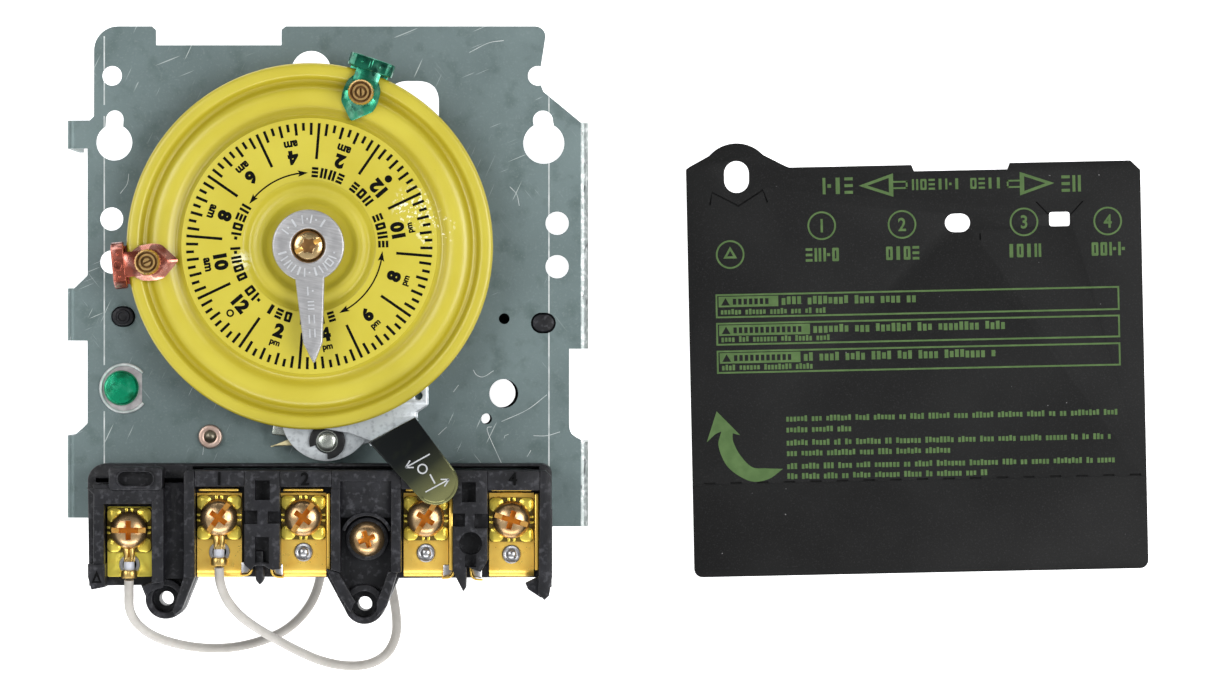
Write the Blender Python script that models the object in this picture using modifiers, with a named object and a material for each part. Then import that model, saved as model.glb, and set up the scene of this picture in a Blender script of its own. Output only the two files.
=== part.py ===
"""A mechanical dial time switch with its loose terminal insulator.

A steel mounting plate lies on its bent-back flanges. In front of it are the 24-hour dial with two
trippers, the fixed pointer, the manual lever and the moulded terminal block; behind it are the motor and
a moulded housing. The insulator sheet that covers the terminals lies beside the plate.

Numbers are millimetres. X and Y are measured from the dial's axis, and Z from the surface that the
flanges stand on. MM turns them into metres, and the empty "dial_axis" carries everything to the part's
own frame, whose zero is the middle of the whole layout, on that surface.
"""

import bpy
import bmesh
from math import acos, asin, cos, degrees, hypot, pi, radians, sin
from mathutils import Matrix, Vector

MM = 0.001
GAP = 0.3

# Place of the dial's axis in the part's own frame.
DIAL_AXIS_X = -70.16
DIAL_AXIS_Y = 17.95

# Heights above the surface.
PLATE_BACK = 33.0
PLATE_FRONT = 34.2
LEVER_BACK, LEVER_FRONT = 35.5, 36.7
GEAR_BACK, GEAR_FRONT = 37.3, 39.3
CAM_BACK, CAM_FRONT = 39.6, 40.4
LEVER_BRIDGE_BACK, LEVER_BRIDGE_FRONT = 42.2, 43.1
RIM_TOP = 46.0
FACE_TOP = 47.8
POINTER_BACK, POINTER_FRONT = 52.0, 53.6
BLOCK_BACK, BLOCK_FLOOR, BLOCK_FRONT = PLATE_FRONT + GAP, 46.2, 53.5
BLADE_BACK = 54.6

# Mounting plate.
PLATE_LEFT, PLATE_RIGHT = -57.0, 64.2
PLATE_TOP, PLATE_BOTTOM = 51.3, -63.0
WAIST_LEFT, WAIST_RIGHT = -52.2, 59.8
BEND = 0.25
LEFT_FLANGES = ((22.9, 29.4), (-21.8, -9.6), (PLATE_BOTTOM, -43.8))
RIGHT_FLANGES = ((-23.7, 28.9), (-65.0, -45.3))
GROUND_SCREW = (-44.3, -32.8)
GROUND_COLLAR = (-43.6, -32.9)
COLLAR_FLAT = -39.3
STUD = (-23.6, -44.1)
POST_R = 3.0
POST_HOLE_R = POST_R + GAP

# Dial, gears and motor.
DIAL_R = 42.3
DIAL_STEPS = 48
DIAL_SPRING_R = 4.1
GEAR_MODULE = 0.8
DIAL_TEETH, PINION_TEETH = 72, 12
MOTOR = (12.0, 14.0)
MOTOR_R = 24.0
PINION = (23.0, 24.5)
PINION_SHAFT_R = 2.0

# Trippers, as angles from +X about the dial's axis.
TRIPPER_R = 37.3
TRIPPERS = {"on": 71.2, "off": 185.8}
TRIPPER_BACK, TRIPPER_FRONT = RIM_TOP + GAP, 47.9
JAW_BACK, JAW_FRONT = 43.4, 44.7

# Manual lever and cam.
CAM_PIN = (3.8, -45.1)
CAM_CENTRE = (3.7, -39.1)
CAM_R = 10.6
CAM_PIN_R = 2.5
BLADE_TIP = (29.3, -54.3)
BLADE_WIDTH = 10.3
BLADE_T = 1.0
BEND_LINE = ((24.6, -39.4), (13.9, -45.1))

# Terminals: name, middle of the screw.
TERMINALS = {
    "a": (-41.4, -65.4),
    "1": (-20.7, -62.5),
    "2": (-1.3, -62.5),
    "3": (26.9, -62.7),
    "4": (46.6, -63.0),
}
WIRED = ("a", "1")
FLAT_WIDTH = 10.4
FLAT_BACK, FLAT_FRONT = BLOCK_FLOOR + GAP, 47.7
FLAT_BOTTOM = -76.6
RIVET_DROP = 8.0
CLAMP_SIDE = 10.2
CLAMP_BACK, CLAMP_FRONT = 48.0, 49.2
HEAD_BACK = 49.5
SCREW_R = 1.9
SCREW_HOLE_R = 2.2
INSULATOR_SCREW = (13.4, -67.4)
BOSS_FRONT = 50.0
LUGS = ((-33.1, -81.3), (12.7, -82.5))
LUG_R = 4.7
LUG_HOLE_R = 1.65
# Contact arms: terminal that carries the arm, terminal that it closes on.
POLES = (("1", "2"), ("3", "4"))
ARM_Y = -55.1

# Leads.
LEAD_D = 2.2
FERRULE_DROP = 11.2

# Insulator sheet, in its own frame: zero at its slot.
SHEET = (100.3, 18.0)
SHEET_TURN = radians(1.2)
SHEET_T = 0.6
SHEET_LEFT, SHEET_RIGHT = -12.0, 96.0
FOLD_Y = -73.0
SHEET_BOTTOM = -95.0


def mm(values):
    """Millimetres to metres, as a vector."""
    return Vector(values) * MM


# ---------------------------------------------------------------- scene

def clear_scene():
    for obj in list(bpy.data.objects):
        bpy.data.objects.remove(obj, do_unlink=True)


def new_collection(name):
    collection = bpy.data.collections.new(name)
    bpy.context.scene.collection.children.link(collection)
    return collection


def new_frame():
    """The empty on the dial's axis that every part hangs from."""
    frame = bpy.data.objects.new("dial_axis", None)
    frame.location = mm((DIAL_AXIS_X, DIAL_AXIS_Y, 0.0))
    PARTS.objects.link(frame)
    return frame


def new_material(name, colour, roughness, metallic=0.0):
    material = bpy.data.materials.new(name)
    material.use_nodes = True
    shader = material.node_tree.nodes["Principled BSDF"]
    shader.inputs["Base Color"].default_value = (*colour, 1.0)
    shader.inputs["Roughness"].default_value = roughness
    shader.inputs["Metallic"].default_value = metallic
    return material


clear_scene()
PARTS = new_collection("dial_time_switch")
CUTTERS = new_collection("cutters")
FRAME = new_frame()

ZINC = new_material("zinc_plate", (0.12, 0.16, 0.16), 0.42, 1.0)
WHITE_ZINC = new_material("white_zinc", (0.74, 0.77, 0.79), 0.4, 1.0)
STEEL = new_material("steel", (0.45, 0.45, 0.45), 0.35, 1.0)
ALUMINIUM = new_material("satin_aluminium", (0.55, 0.55, 0.57), 0.4, 1.0)
BRASS = new_material("brass", (0.75, 0.5, 0.13), 0.3, 1.0)
BRONZE = new_material("bronze_screw", (0.55, 0.38, 0.22), 0.3, 1.0)
COPPER = new_material("copper_coil", (0.6, 0.22, 0.1), 0.4, 1.0)
YELLOW = new_material("dial_yellow", (0.68, 0.58, 0.05), 0.3)
GREEN = new_material("on_green", (0.03, 0.32, 0.2), 0.3, 1.0)
RED = new_material("off_red", (0.42, 0.12, 0.09), 0.3, 1.0)
GROUND_GREEN = new_material("ground_green", (0.01, 0.3, 0.12), 0.4)
BLACK = new_material("black_moulding", (0.02, 0.02, 0.023), 0.55)
CREAM = new_material("cream_plastic", (0.7, 0.62, 0.4), 0.5)
LEAD_GREY = new_material("lead_grey", (0.58, 0.56, 0.52), 0.5)
FIBRE = new_material("insulator_black", (0.018, 0.018, 0.018), 0.6)


# ---------------------------------------------------------------- shapes

def finish_mesh(bm, name="mesh"):
    mesh = bpy.data.meshes.new(name)
    bmesh.ops.recalc_face_normals(bm, faces=bm.faces)
    bm.to_mesh(mesh)
    bm.free()
    return mesh


def box(low, high):
    """A box mesh between two corners."""
    size = mm(high) - mm(low)
    middle = (mm(high) + mm(low)) / 2
    bm = bmesh.new()
    bmesh.ops.create_cube(bm, size=1.0, matrix=Matrix.Translation(middle) @ Matrix.Diagonal((*size, 1.0)))
    return finish_mesh(bm)


def rod(centre, radius, low, high, steps=20, along="Z"):
    """A round bar mesh. `centre` is its place across the axis, `low` and `high` its ends along it."""
    turn = {"X": Matrix.Rotation(pi / 2, 4, "Y"), "Y": Matrix.Rotation(pi / 2, 4, "X"), "Z": Matrix()}[along]
    middle = {
        "X": ((low + high) / 2, *centre),
        "Y": (centre[0], (low + high) / 2, centre[1]),
        "Z": (*centre, (low + high) / 2),
    }[along]
    bm = bmesh.new()
    bmesh.ops.create_cone(
        bm, cap_ends=True, cap_tris=False, segments=steps, radius1=radius * MM, radius2=radius * MM,
        depth=(high - low) * MM, matrix=Matrix.Translation(mm(middle)) @ turn,
    )
    return finish_mesh(bm)


def group(meshes):
    """Several meshes that don't touch, as one mesh."""
    bm = bmesh.new()
    for mesh in meshes:
        bm.from_mesh(mesh)
    return finish_mesh(bm)


def prism(loops, low, high):
    """A flat solid between two heights. The first loop is its outline, and the others are its holes."""
    curve = bpy.data.curves.new("outline", "CURVE")
    curve.dimensions = "2D"
    curve.fill_mode = "BOTH"
    curve.extrude = (high - low) / 2
    for loop in loops:
        spline = curve.splines.new("POLY")
        spline.points.add(len(loop) - 1)
        for point, (x, y) in zip(spline.points, loop):
            point.co = (x, y, 0.0, 1.0)
        spline.use_cyclic_u = True
    guide = bpy.data.objects.new("outline", curve)
    CUTTERS.objects.link(guide)
    graph = bpy.context.evaluated_depsgraph_get()
    mesh = bpy.data.meshes.new_from_object(guide.evaluated_get(graph))
    bpy.data.objects.remove(guide)
    bpy.data.curves.remove(curve)
    bm = bmesh.new()
    bm.from_mesh(mesh)
    bpy.data.meshes.remove(mesh)
    bmesh.ops.remove_doubles(bm, verts=bm.verts, dist=0.0005)
    bmesh.ops.translate(bm, verts=bm.verts, vec=(0.0, 0.0, (low + high) / 2))
    bmesh.ops.scale(bm, verts=bm.verts, vec=(MM, MM, MM))
    return finish_mesh(bm)


def profile(points):
    """A closed profile in X and Z for a turned part. Its outer side runs from top to bottom."""
    bm = bmesh.new()
    verts = [bm.verts.new(mm((radius, 0.0, height))) for radius, height in points]
    pairs = list(zip(verts, verts[1:]))
    if points[0][0] > 0.0:
        pairs.append((verts[-1], verts[0]))
    for first, second in pairs:
        bm.edges.new((first, second))
    mesh = bpy.data.meshes.new("profile")
    bm.to_mesh(mesh)
    bm.free()
    return mesh


def place(name, mesh, material, at=(0.0, 0.0, 0.0), collection=None):
    """The named part. Its mesh is drawn about the dial's axis, and its origin is moved to `at`."""
    mesh.transform(Matrix.Translation(-mm(at)))
    obj = bpy.data.objects.new(name, mesh)
    (collection or PARTS).objects.link(obj)
    obj.parent = FRAME
    obj.location = mm(at)
    if material:
        mesh.materials.append(material)
    return obj


def turned(name, points, material, centre=(0.0, 0.0), steps=24):
    """A part turned about an upright axis through `centre`."""
    obj = bpy.data.objects.new(name, profile(points))
    PARTS.objects.link(obj)
    obj.parent = FRAME
    obj.location = mm((*centre, 0.0))
    obj.data.materials.append(material)
    screw = obj.modifiers.new("Turn", "SCREW")
    screw.steps = steps
    screw.render_steps = steps
    screw.use_merge_vertices = True
    screw.merge_threshold = 0.00001
    return obj


def combine(obj, mesh, operation):
    """Cut a mesh from the part, or join it to the part."""
    tool = place(obj.name + "_" + operation.lower(), mesh, None, collection=CUTTERS)
    tool.hide_render = True
    tool.display_type = "WIRE"
    modifier = obj.modifiers.new(operation.title(), "BOOLEAN")
    modifier.operation = operation
    modifier.solver = "EXACT"
    modifier.object = tool


def cut(obj, *meshes):
    for mesh in meshes:
        combine(obj, mesh, "DIFFERENCE")


def join(obj, *meshes):
    for mesh in meshes:
        combine(obj, mesh, "UNION")


# ---------------------------------------------------------------- outlines

def arc(centre, radius, start, end, steps):
    """Points on an arc, from the start angle to the end angle in degrees."""
    angles = [radians(start + (end - start) * i / steps) for i in range(steps + 1)]
    return [(centre[0] + radius * cos(a), centre[1] + radius * sin(a)) for a in angles]


def circle(centre, radius, steps=16):
    return arc(centre, radius, 0.0, 360.0, steps)[:-1]


def obround(centre, length, width, steps=5, turn=0):
    """A slot outline whose length runs along X, or along Y with a turn of 90 degrees."""
    x, y = centre
    reach = (length - width) / 2
    across, along = cos(radians(turn)) * reach, sin(radians(turn)) * reach
    first = arc((x + across, y + along), width / 2, turn - 90, turn + 90, steps)
    last = arc((x - across, y - along), width / 2, turn + 90, turn + 270, steps)
    return first + last


def round_box(low, high, radius, steps=4):
    """A rectangle with round corners."""
    corners = ((high[0], high[1], 0), (low[0], high[1], 90), (low[0], low[1], 180), (high[0], low[1], 270))
    points = []
    for x, y, start in corners:
        inward_x = -radius if x == high[0] else radius
        inward_y = -radius if y == high[1] else radius
        points += arc((x + inward_x, y + inward_y), radius, start, start + 90, steps)
    return points


def keyhole(neck, neck_r, bulb, bulb_r):
    """A round bulb with a narrower round-ended neck above it."""
    half = degrees(asin(neck_r / bulb_r))
    return arc(bulb, bulb_r, 90 + half, 450 - half, 14) + arc(neck, neck_r, 0, 180, 6)


def d_shape(centre, radius, flat_x, steps=18):
    """A circle cut straight on its right side."""
    half = degrees(acos((flat_x - centre[0]) / radius))
    return arc(centre, radius, half, 360 - half, steps)


def polar(radius, angle):
    return (radius * cos(radians(angle)), radius * sin(radians(angle)))


# ---------------------------------------------------------------- plate and what is behind it

def plate_outline():
    left, right = PLATE_LEFT + BEND, PLATE_RIGHT - BEND
    lower_right = [
        (left, PLATE_BOTTOM), (WAIST_RIGHT, PLATE_BOTTOM), (WAIST_RIGHT, -65.0), (right, -65.0),
        (right, -45.3), (63.2, -43.9), (60.8, -42.6), (WAIST_RIGHT, -41.3), (WAIST_RIGHT, -23.7),
        (right, -23.7), (right, 28.9), (62.3, 29.1), (53.8, 36.1),
    ]
    notch = arc((52.5, 39.8), 2.3, -72, -288, 8)
    top = arc((51.9, PLATE_TOP - 2.4), 2.4, 0, 90, 3)
    top += [(-7.1, PLATE_TOP), (-7.1, 46.9), (-36.3, 46.9), (-36.3, PLATE_TOP)]
    top += arc((-45.1, PLATE_TOP - 5.6), 5.6, 90, 180, 5)
    upper_left = [(-50.7, 30.4), (-51.7, 29.4), (left, 29.4)]
    upper_left += arc((left + 1.5, 24.4), 1.5, 180, 270, 3)
    lower_left = [
        (WAIST_LEFT, 22.9), (WAIST_LEFT, -6.6), (-53.4, -7.8), (-55.8, -8.5), (left, -9.6), (left, -21.8),
        (WAIST_LEFT, -21.8), (WAIST_LEFT, -41.0), (-53.4, -42.2), (-55.8, -42.7), (left, -43.8),
    ]
    return lower_right + notch + top + upper_left + lower_left


def mounting_plate():
    holes = [
        circle((-46.5, 39.8), 2.3),
        keyhole((-45.9, 29.7), 2.07, (-46.0, 24.3), 4.2),
        circle((-46.6, 6.5), 2.7),
        circle((-46.6, -3.5), 2.7),
        obround((-43.9, -16.2), 5.6, 4.8),
        circle(GROUND_SCREW, 2.4),
        circle(STUD, 1.7, 12),
        circle((0.0, 0.0), POST_HOLE_R),
        circle((-0.2, 41.0), 4.6, 20),
        round_box((17.4, 19.0), (29.5, 38.6), 5.0),
        keyhole((53.7, 29.4), 2.33, (53.9, 24.1), 4.77),
        circle((57.0, 5.5), 2.7),
        circle((57.0, -4.6), 2.7),
        obround((53.8, -17.7), 5.8, 4.8),
        circle((44.7, -16.7), 1.25, 10),
        circle((44.6, -34.1), 3.35),
        circle((40.6, -40.0), 1.25, 10),
    ]
    plate = place("mounting_plate", prism([plate_outline()] + holes, PLATE_BACK, PLATE_FRONT), ZINC)
    thickness = PLATE_FRONT - PLATE_BACK
    middle = (PLATE_BACK + PLATE_FRONT) / 2
    top = PLATE_FRONT - BEND
    flanges = [box((PLATE_LEFT, low + 0.1, 0.0), (PLATE_LEFT + thickness, high - 0.1, top))
               for low, high in LEFT_FLANGES]
    flanges += [box((PLATE_RIGHT - thickness, low + 0.1, 0.0), (PLATE_RIGHT, high - 0.1, top))
                for low, high in RIGHT_FLANGES]
    join(plate, group(flanges))
    collar = [d_shape(GROUND_COLLAR, 5.9, COLLAR_FLAT), d_shape(GROUND_COLLAR, 5.2, COLLAR_FLAT - 0.7)]
    join(plate, prism(collar, middle, PLATE_FRONT + 0.8))


def rear_housing():
    """Moulded shell behind the plate, open towards the plate, with two posts for the plate's slots."""
    wall = 2.0
    low, high = (-47.0, -61.5, 12.0), (57.0, -11.0, PLATE_BACK - GAP)
    housing = place("rear_housing", box(low, high), BLACK)
    inner_low = (low[0] + wall, low[1] + wall, low[2] + wall)
    cut(housing, box(inner_low, (high[0] - wall, high[1] - wall, high[2] + wall)))
    ribs = [box((x - 1.0, low[1] + wall / 2, low[2] + wall / 2), (x + 1.0, high[1] - wall / 2, high[2] - 2.0))
            for x in (-14.0, 22.0)]
    join(housing, group(ribs))
    x, y = GROUND_SCREW
    cut(housing, box((low[0] - 1.0, y - 2.7, 24.0), (x + 3.0, y + 2.7, high[2] + 1.0)))
    join(housing, prism([obround((-43.9, -16.2), 5.0, 4.2)], 20.0, 35.8))
    join(housing, prism([obround((53.8, -17.7), 5.2, 4.2)], 20.0, 33.6))
    # Two tool holes right through, behind the plate's two lower right holes.
    cut(housing, rod((43.6, -34.1), 3.4, low[2] - 1.0, low[2] + wall + 1.0, 20),
        rod((39.7, -40.0), 1.3, low[2] - 1.0, low[2] + wall + 1.0, 12))


def motor():
    x, y = MOTOR
    wall = 1.2
    back, front = 6.0, 30.0
    can = place("motor_can", rod(MOTOR, MOTOR_R, back, front, 32), STEEL)
    join(can, box((-4.0, -13.0, back + 0.5), (13.0, y - MOTOR_R + 8.0, 11.5)))
    cut(can, rod(MOTOR, MOTOR_R - wall, back + wall, front + 1.0, 32))
    # The cover has one hole for the pinion's shaft and one for the riveted end of the dial's post.
    outline = [circle(MOTOR, MOTOR_R, 32), circle(PINION, PINION_SHAFT_R + GAP), circle((0, 0), 5.0)]
    gear_case = place("motor_gear_cover", prism(outline, front + GAP, PLATE_BACK - GAP), STEEL)
    ears = [box((x + side * 25.0 - 5.0, y - 4.0, front + GAP), (x + side * 25.0 + 5.0, y + 4.0, 31.7))
            for side in (-1, 1)]
    join(gear_case, group(ears))
    turned("motor_coil", [(16.0, 17.0), (21.5, 17.0), (21.5, 9.0), (16.0, 9.0)], COPPER, MOTOR)
    turned("motor_rotor", [
        (0.0, 24.0), (1.2, 24.0), (1.2, 16.5), (13.0, 16.5), (13.0, 9.5), (1.2, 9.5), (1.2, 7.6), (0.0, 7.6),
    ], STEEL, MOTOR)


def dial_post():
    """Shaft riveted to the plate, with a threaded bore for the pointer's screw."""
    turned("dial_post", [
        (1.5, POINTER_BACK - GAP), (POST_R, POINTER_BACK - GAP), (POST_R, PLATE_FRONT + 1.0),
        (6.0, PLATE_FRONT + 1.0), (6.0, PLATE_FRONT + GAP), (POST_R, PLATE_FRONT + GAP),
        (POST_R, PLATE_BACK - GAP), (4.4, PLATE_BACK - GAP), (4.4, 31.4), (0.0, 31.4), (0.0, 42.0), (1.5, 42.0),
    ], STEEL)


# ---------------------------------------------------------------- dial group

def gear_outline(teeth, turn):
    """Spur gear outline with slim, slightly short teeth, so that a pair runs with backlash."""
    pitch_r = teeth * GEAR_MODULE / 2
    tooth = 360.0 / teeth
    root, tip = pitch_r - 1.15 * GEAR_MODULE, pitch_r + 0.75 * GEAR_MODULE
    half_root, half_tip = 0.27 * tooth, 0.1 * tooth
    points = []
    for i in range(teeth):
        middle = turn + i * tooth
        points += [polar(root, middle - half_root), polar(tip, middle - half_tip),
                   polar(tip, middle + half_tip), polar(root, middle + half_root)]
    return points


def shift(points, centre):
    return [(x + centre[0], y + centre[1]) for x, y in points]


def gears():
    """The dial gear on the post, and the motor pinion in mesh with it."""
    mesh_angle = degrees(asin(PINION[1] / hypot(*PINION)))
    dial_gear = gear_outline(DIAL_TEETH, mesh_angle)
    wheel = place("dial_gear", prism([dial_gear, circle((0, 0), POST_HOLE_R)], GEAR_BACK, GEAR_FRONT), BRASS)
    join(wheel, prism([circle((0, 0), 6.0), circle((0, 0), POST_HOLE_R)], GEAR_BACK + 0.5, GEAR_FRONT + 1.2))
    half_tooth = 180.0 / PINION_TEETH
    teeth = shift(gear_outline(PINION_TEETH, mesh_angle + 180.0 + half_tooth), PINION)
    pinion = place("motor_pinion", prism([teeth], GEAR_BACK, GEAR_FRONT), BRASS, (*PINION, 0.0))
    join(pinion, rod(PINION, PINION_SHAFT_R, 26.0, GEAR_BACK + 1.0))


def dial():
    sheet = 1.0
    top = [
        (5.3, 45.9), (11.0, 45.9), (11.8, 46.5), (14.9, 46.5), (16.2, FACE_TOP), (28.9, FACE_TOP),
        (30.4, RIM_TOP), (36.0, RIM_TOP), (37.0, 44.8), (38.2, 44.8), (39.2, RIM_TOP), (DIAL_R - 0.3, RIM_TOP),
        (DIAL_R, RIM_TOP - 0.3),
    ]
    under = [(DIAL_R, RIM_TOP - sheet)] + [(radius, height - sheet) for radius, height in reversed(top[:-2])]
    turned("dial", top + under, YELLOW, steps=DIAL_STEPS)


def dial_bushing():
    inner, outer, flange = POST_HOLE_R, 5.0, 7.5
    turned("dial_bushing", [
        (inner, 46.4), (outer, 46.4), (outer, 44.6), (flange, 44.6), (flange, 43.4), (outer, 43.4),
        (outer, 41.0), (inner, 41.0),
    ], BRASS)


def dial_spring():
    """Three turns of wire between the bushing and the pointer."""
    turns, steps, low, high = 3, 12, 47.05, 51.3
    curve = bpy.data.curves.new("dial_spring", "CURVE")
    curve.dimensions = "3D"
    curve.bevel_depth = 0.35 * MM
    curve.bevel_resolution = 1
    curve.use_fill_caps = True
    spline = curve.splines.new("POLY")
    spline.points.add(turns * steps)
    for i, point in enumerate(spline.points):
        share = i / (turns * steps)
        x, y = polar(DIAL_SPRING_R, 360.0 * turns * share)
        point.co = (*mm((x, y, low + (high - low) * share)), 1.0)
    obj = bpy.data.objects.new("dial_spring", curve)
    PARTS.objects.link(obj)
    obj.parent = FRAME
    curve.materials.append(STEEL)


def pointer():
    tip, shoulder, neck_half, end_half, tilt = 26.9, 22.5, 3.35, 2.25, 2.8
    hub_r, recess_r = 8.3, 3.9
    side = degrees(asin(neck_half / hub_r))
    outline = arc((0, 0), hub_r, -90 + side, 270 - side, 28)
    outline += [(-end_half, -shoulder), (0.0, -tip), (end_half, -shoulder)]
    turn = radians(tilt)
    outline = [(x * cos(turn) - y * sin(turn), x * sin(turn) + y * cos(turn)) for x, y in outline]
    hand = place("pointer", prism([outline, circle((0, 0), 1.9, 12)], POINTER_BACK, POINTER_FRONT), ALUMINIUM)
    join(hand, prism([circle((0, 0), 5.2, 20), circle((0, 0), 1.9, 12)], POINTER_BACK + 0.4, POINTER_FRONT + 0.8))
    cut(hand, rod((0, 0), recess_r, POINTER_BACK + 0.7, POINTER_FRONT + 2.0))
    screw = turned("pointer_screw", [
        (0.0, 54.1), (2.9, 54.1), (3.2, 53.8), (3.2, 53.0), (1.2, 53.0), (1.2, 44.0), (0.0, 44.0),
    ], BRASS)
    cut(screw, box((-0.5, -4.0, 53.5), (0.5, 4.0, 55.0)))


def tripper(name, angle):
    """C-shaped clamp on the dial's rim, and its thumbscrew. Drawn pointing inwards along -X first."""
    x, y = polar(TRIPPER_R, angle)
    turn = Matrix.Translation(mm((x, y, 0.0))) @ Matrix.Rotation(radians(angle), 4, "Z")
    plan = [(-6.6, 0.0), (-3.0, -4.2), (2.4, -4.0), (3.8, -3.1), (5.0, -5.3), (8.6, -5.3),
            (8.6, 5.3), (5.0, 5.3), (3.8, 3.1), (2.4, 4.0), (-3.0, 4.2)]
    material = {"on": GREEN, "off": RED}[name]

    def turned_in(mesh):
        mesh.transform(turn)
        return mesh

    clamp = place(name + "_tripper", turned_in(
        prism([plan, circle((0, 0), 1.6, 12)], TRIPPER_BACK, TRIPPER_FRONT)), material)
    join(clamp, turned_in(box((DIAL_R + 0.4 - TRIPPER_R, -5.0, JAW_BACK), (8.4, 5.0, TRIPPER_BACK + 0.8))))
    join(clamp, turned_in(box((1.6, -4.6, JAW_BACK + 0.1), (8.2, 4.6, JAW_FRONT))))
    head_r, head_back, head_front = 3.0, 48.2, 53.0
    shank_r, shank_back = 1.3, RIM_TOP + GAP
    screw = turned(name + "_thumbscrew", [
        (0.0, head_front - 0.8), (1.9, head_front - 0.8), (2.1, head_front), (head_r - 0.3, head_front),
        (head_r, head_front - 0.4), (head_r, head_back), (shank_r, head_back), (shank_r, shank_back),
        (0.0, shank_back),
    ], BRASS, (x, y), 16)
    return clamp, screw


# ---------------------------------------------------------------- manual lever and cam

def manual_lever():
    """Carrier plate on the post, a bridge in front of the cam, a riser, and the blade in front of the block."""
    carrier = arc((0, 0), 8.5, 30, 190, 10) + [
        (-8.0, -36.0), (-4.5, -40.5), (-0.1, -41.9), (0.6, -46.2), (3.8, -48.0), (7.4, -46.8),
        (14.1, -45.45), (24.8, -39.75), (24.6, -38.5), (27.2, -36.8), (27.2, -32.5),
    ]
    holes = [circle((0, 0), POST_HOLE_R), circle((25.0, -34.5), 0.95, 8)]
    lever = place("manual_lever", prism([carrier] + holes, LEVER_BACK, LEVER_FRONT), WHITE_ZINC)
    # The bridge stands on a block to the right of the cam, and leaves the cam's lower part and pin in view.
    join(lever, prism([[(18.4, -35.8), (18.4, -40.2), (24.2, -37.6), (26.0, -36.6), (26.0, -35.8)]],
                      LEVER_BACK + 0.5, LEVER_BRIDGE_FRONT - 0.3))
    start, end = BEND_LINE
    bridge = [(-2.0, -35.4), (-0.3, -41.6), (9.2, -43.2), end, start, (24.4, -38.4), (27.0, -36.7), (27.0, -35.4)]
    join(lever, prism([bridge], LEVER_BRIDGE_BACK, LEVER_BRIDGE_FRONT))
    # The riser stands on the bend line, just outside the trippers' path. The blade runs from it to a
    # round tip in front of the block.
    outward = Vector((start[1] - end[1], end[0] - start[0])).normalized() * BLADE_T
    riser = [start, end, tuple(Vector(end) + outward), tuple(Vector(start) + outward)]
    blade = [start, end] + arc(BLADE_TIP, BLADE_WIDTH / 2, 220, 400, 10)
    join(lever, prism([riser], LEVER_BRIDGE_BACK + 0.2, BLADE_BACK + 0.6))
    join(lever, prism([blade], BLADE_BACK, BLADE_BACK + BLADE_T))


def cam_group():
    eccentric = circle(CAM_CENTRE, CAM_R, 32)
    place("cam_disc", prism([eccentric, circle(CAM_PIN, CAM_PIN_R + GAP)], CAM_BACK, CAM_FRONT),
          WHITE_ZINC, (*CAM_PIN, 0.0))
    groove_r, groove_low, groove_high, top = 1.9, CAM_FRONT + 0.2, CAM_FRONT + 1.0, LEVER_BRIDGE_BACK - GAP
    turned("cam_pin", [
        (0.0, top), (CAM_PIN_R - 0.2, top), (CAM_PIN_R, top - 0.2), (CAM_PIN_R, groove_high), (groove_r, groove_high),
        (groove_r, groove_low), (CAM_PIN_R, groove_low), (CAM_PIN_R, LEVER_FRONT + GAP), (0.0, LEVER_FRONT + GAP),
    ], STEEL, CAM_PIN)
    clip_low, clip_high = groove_low + 0.1, groove_high - 0.1
    outer, inner, mouth = 4.2, groove_r + GAP, 40.0
    start = -125.0
    clip = arc(CAM_PIN, outer, start + mouth, start + 360 - mouth, 16)
    clip += arc(CAM_PIN, inner, start + 360 - mouth, start + mouth, 14)
    place("cam_e_clip", prism([clip], clip_low, clip_high), BLACK)
    pawl = [(-9.6, -46.4), (-3.4, -46.0), (-1.6, -44.6), (-1.2, -41.6), (-2.6, -41.4), (-4.0, -44.2)]
    place("trip_pawl", prism([pawl], 37.6, 39.2), CREAM)
    bracket = [(-9.2, -43.6), (-5.0, -43.9), (-4.5, -41.4), (-4.6, -39.0), (-8.4, -39.0)]
    place("cam_bracket", prism([bracket], 37.0, 39.0), STEEL)


# ---------------------------------------------------------------- terminal block

def block_base_outline():
    """Rear layer of the block, with the two lugs below it."""
    left_lug, right_lug = LUGS
    return (
        [(-50.9, -78.4), (-38.9, -78.2)] + arc(left_lug, LUG_R, 176, 345, 10) + [(-26.0, -76.2), (4.1, -76.4)]
        + arc(right_lug, LUG_R, 205, 335, 8) + [(20.5, -76.6), (53.1, -76.4), (55.8, -78.8)]
        + arc((53.4, -52.6), 2.4, 0, 90, 3) + arc((-47.2, -54.2), 4.0, 90, 180, 4)
    )


def block_front_outline():
    """Front layer of the block: walls round five windows and a channel, all open at the bottom."""
    return [
        (-50.6, -78.1), (-47.1, -78.1), (-47.1, -59.2), (-35.9, -59.2), (-35.9, -77.9), (-26.4, -76.0),
        (-26.4, -55.9), (-14.9, -55.9), (-14.9, -74.5), (-12.2, -76.0), (-11.2, -78.2), (-10.2, -76.0),
        (-6.8, -74.4), (-6.8, -56.0), (5.3, -56.0), (5.3, -75.2), (7.4, -77.6), (7.4, -53.2), (19.2, -53.2),
        (19.2, -77.6), (21.3, -75.1), (21.3, -56.1), (33.2, -56.1), (33.2, -74.0), (35.6, -79.6), (36.8, -78.0),
        (37.2, -74.5), (39.4, -76.0), (41.0, -73.6), (41.0, -56.2), (53.1, -56.2), (53.1, -79.6), (54.3, -81.4),
        (55.6, -78.9), (55.6, -53.6), (53.8, -51.6), (-45.7, -51.5), (-45.7, -54.7), (-49.3, -55.6),
    ]


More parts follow.
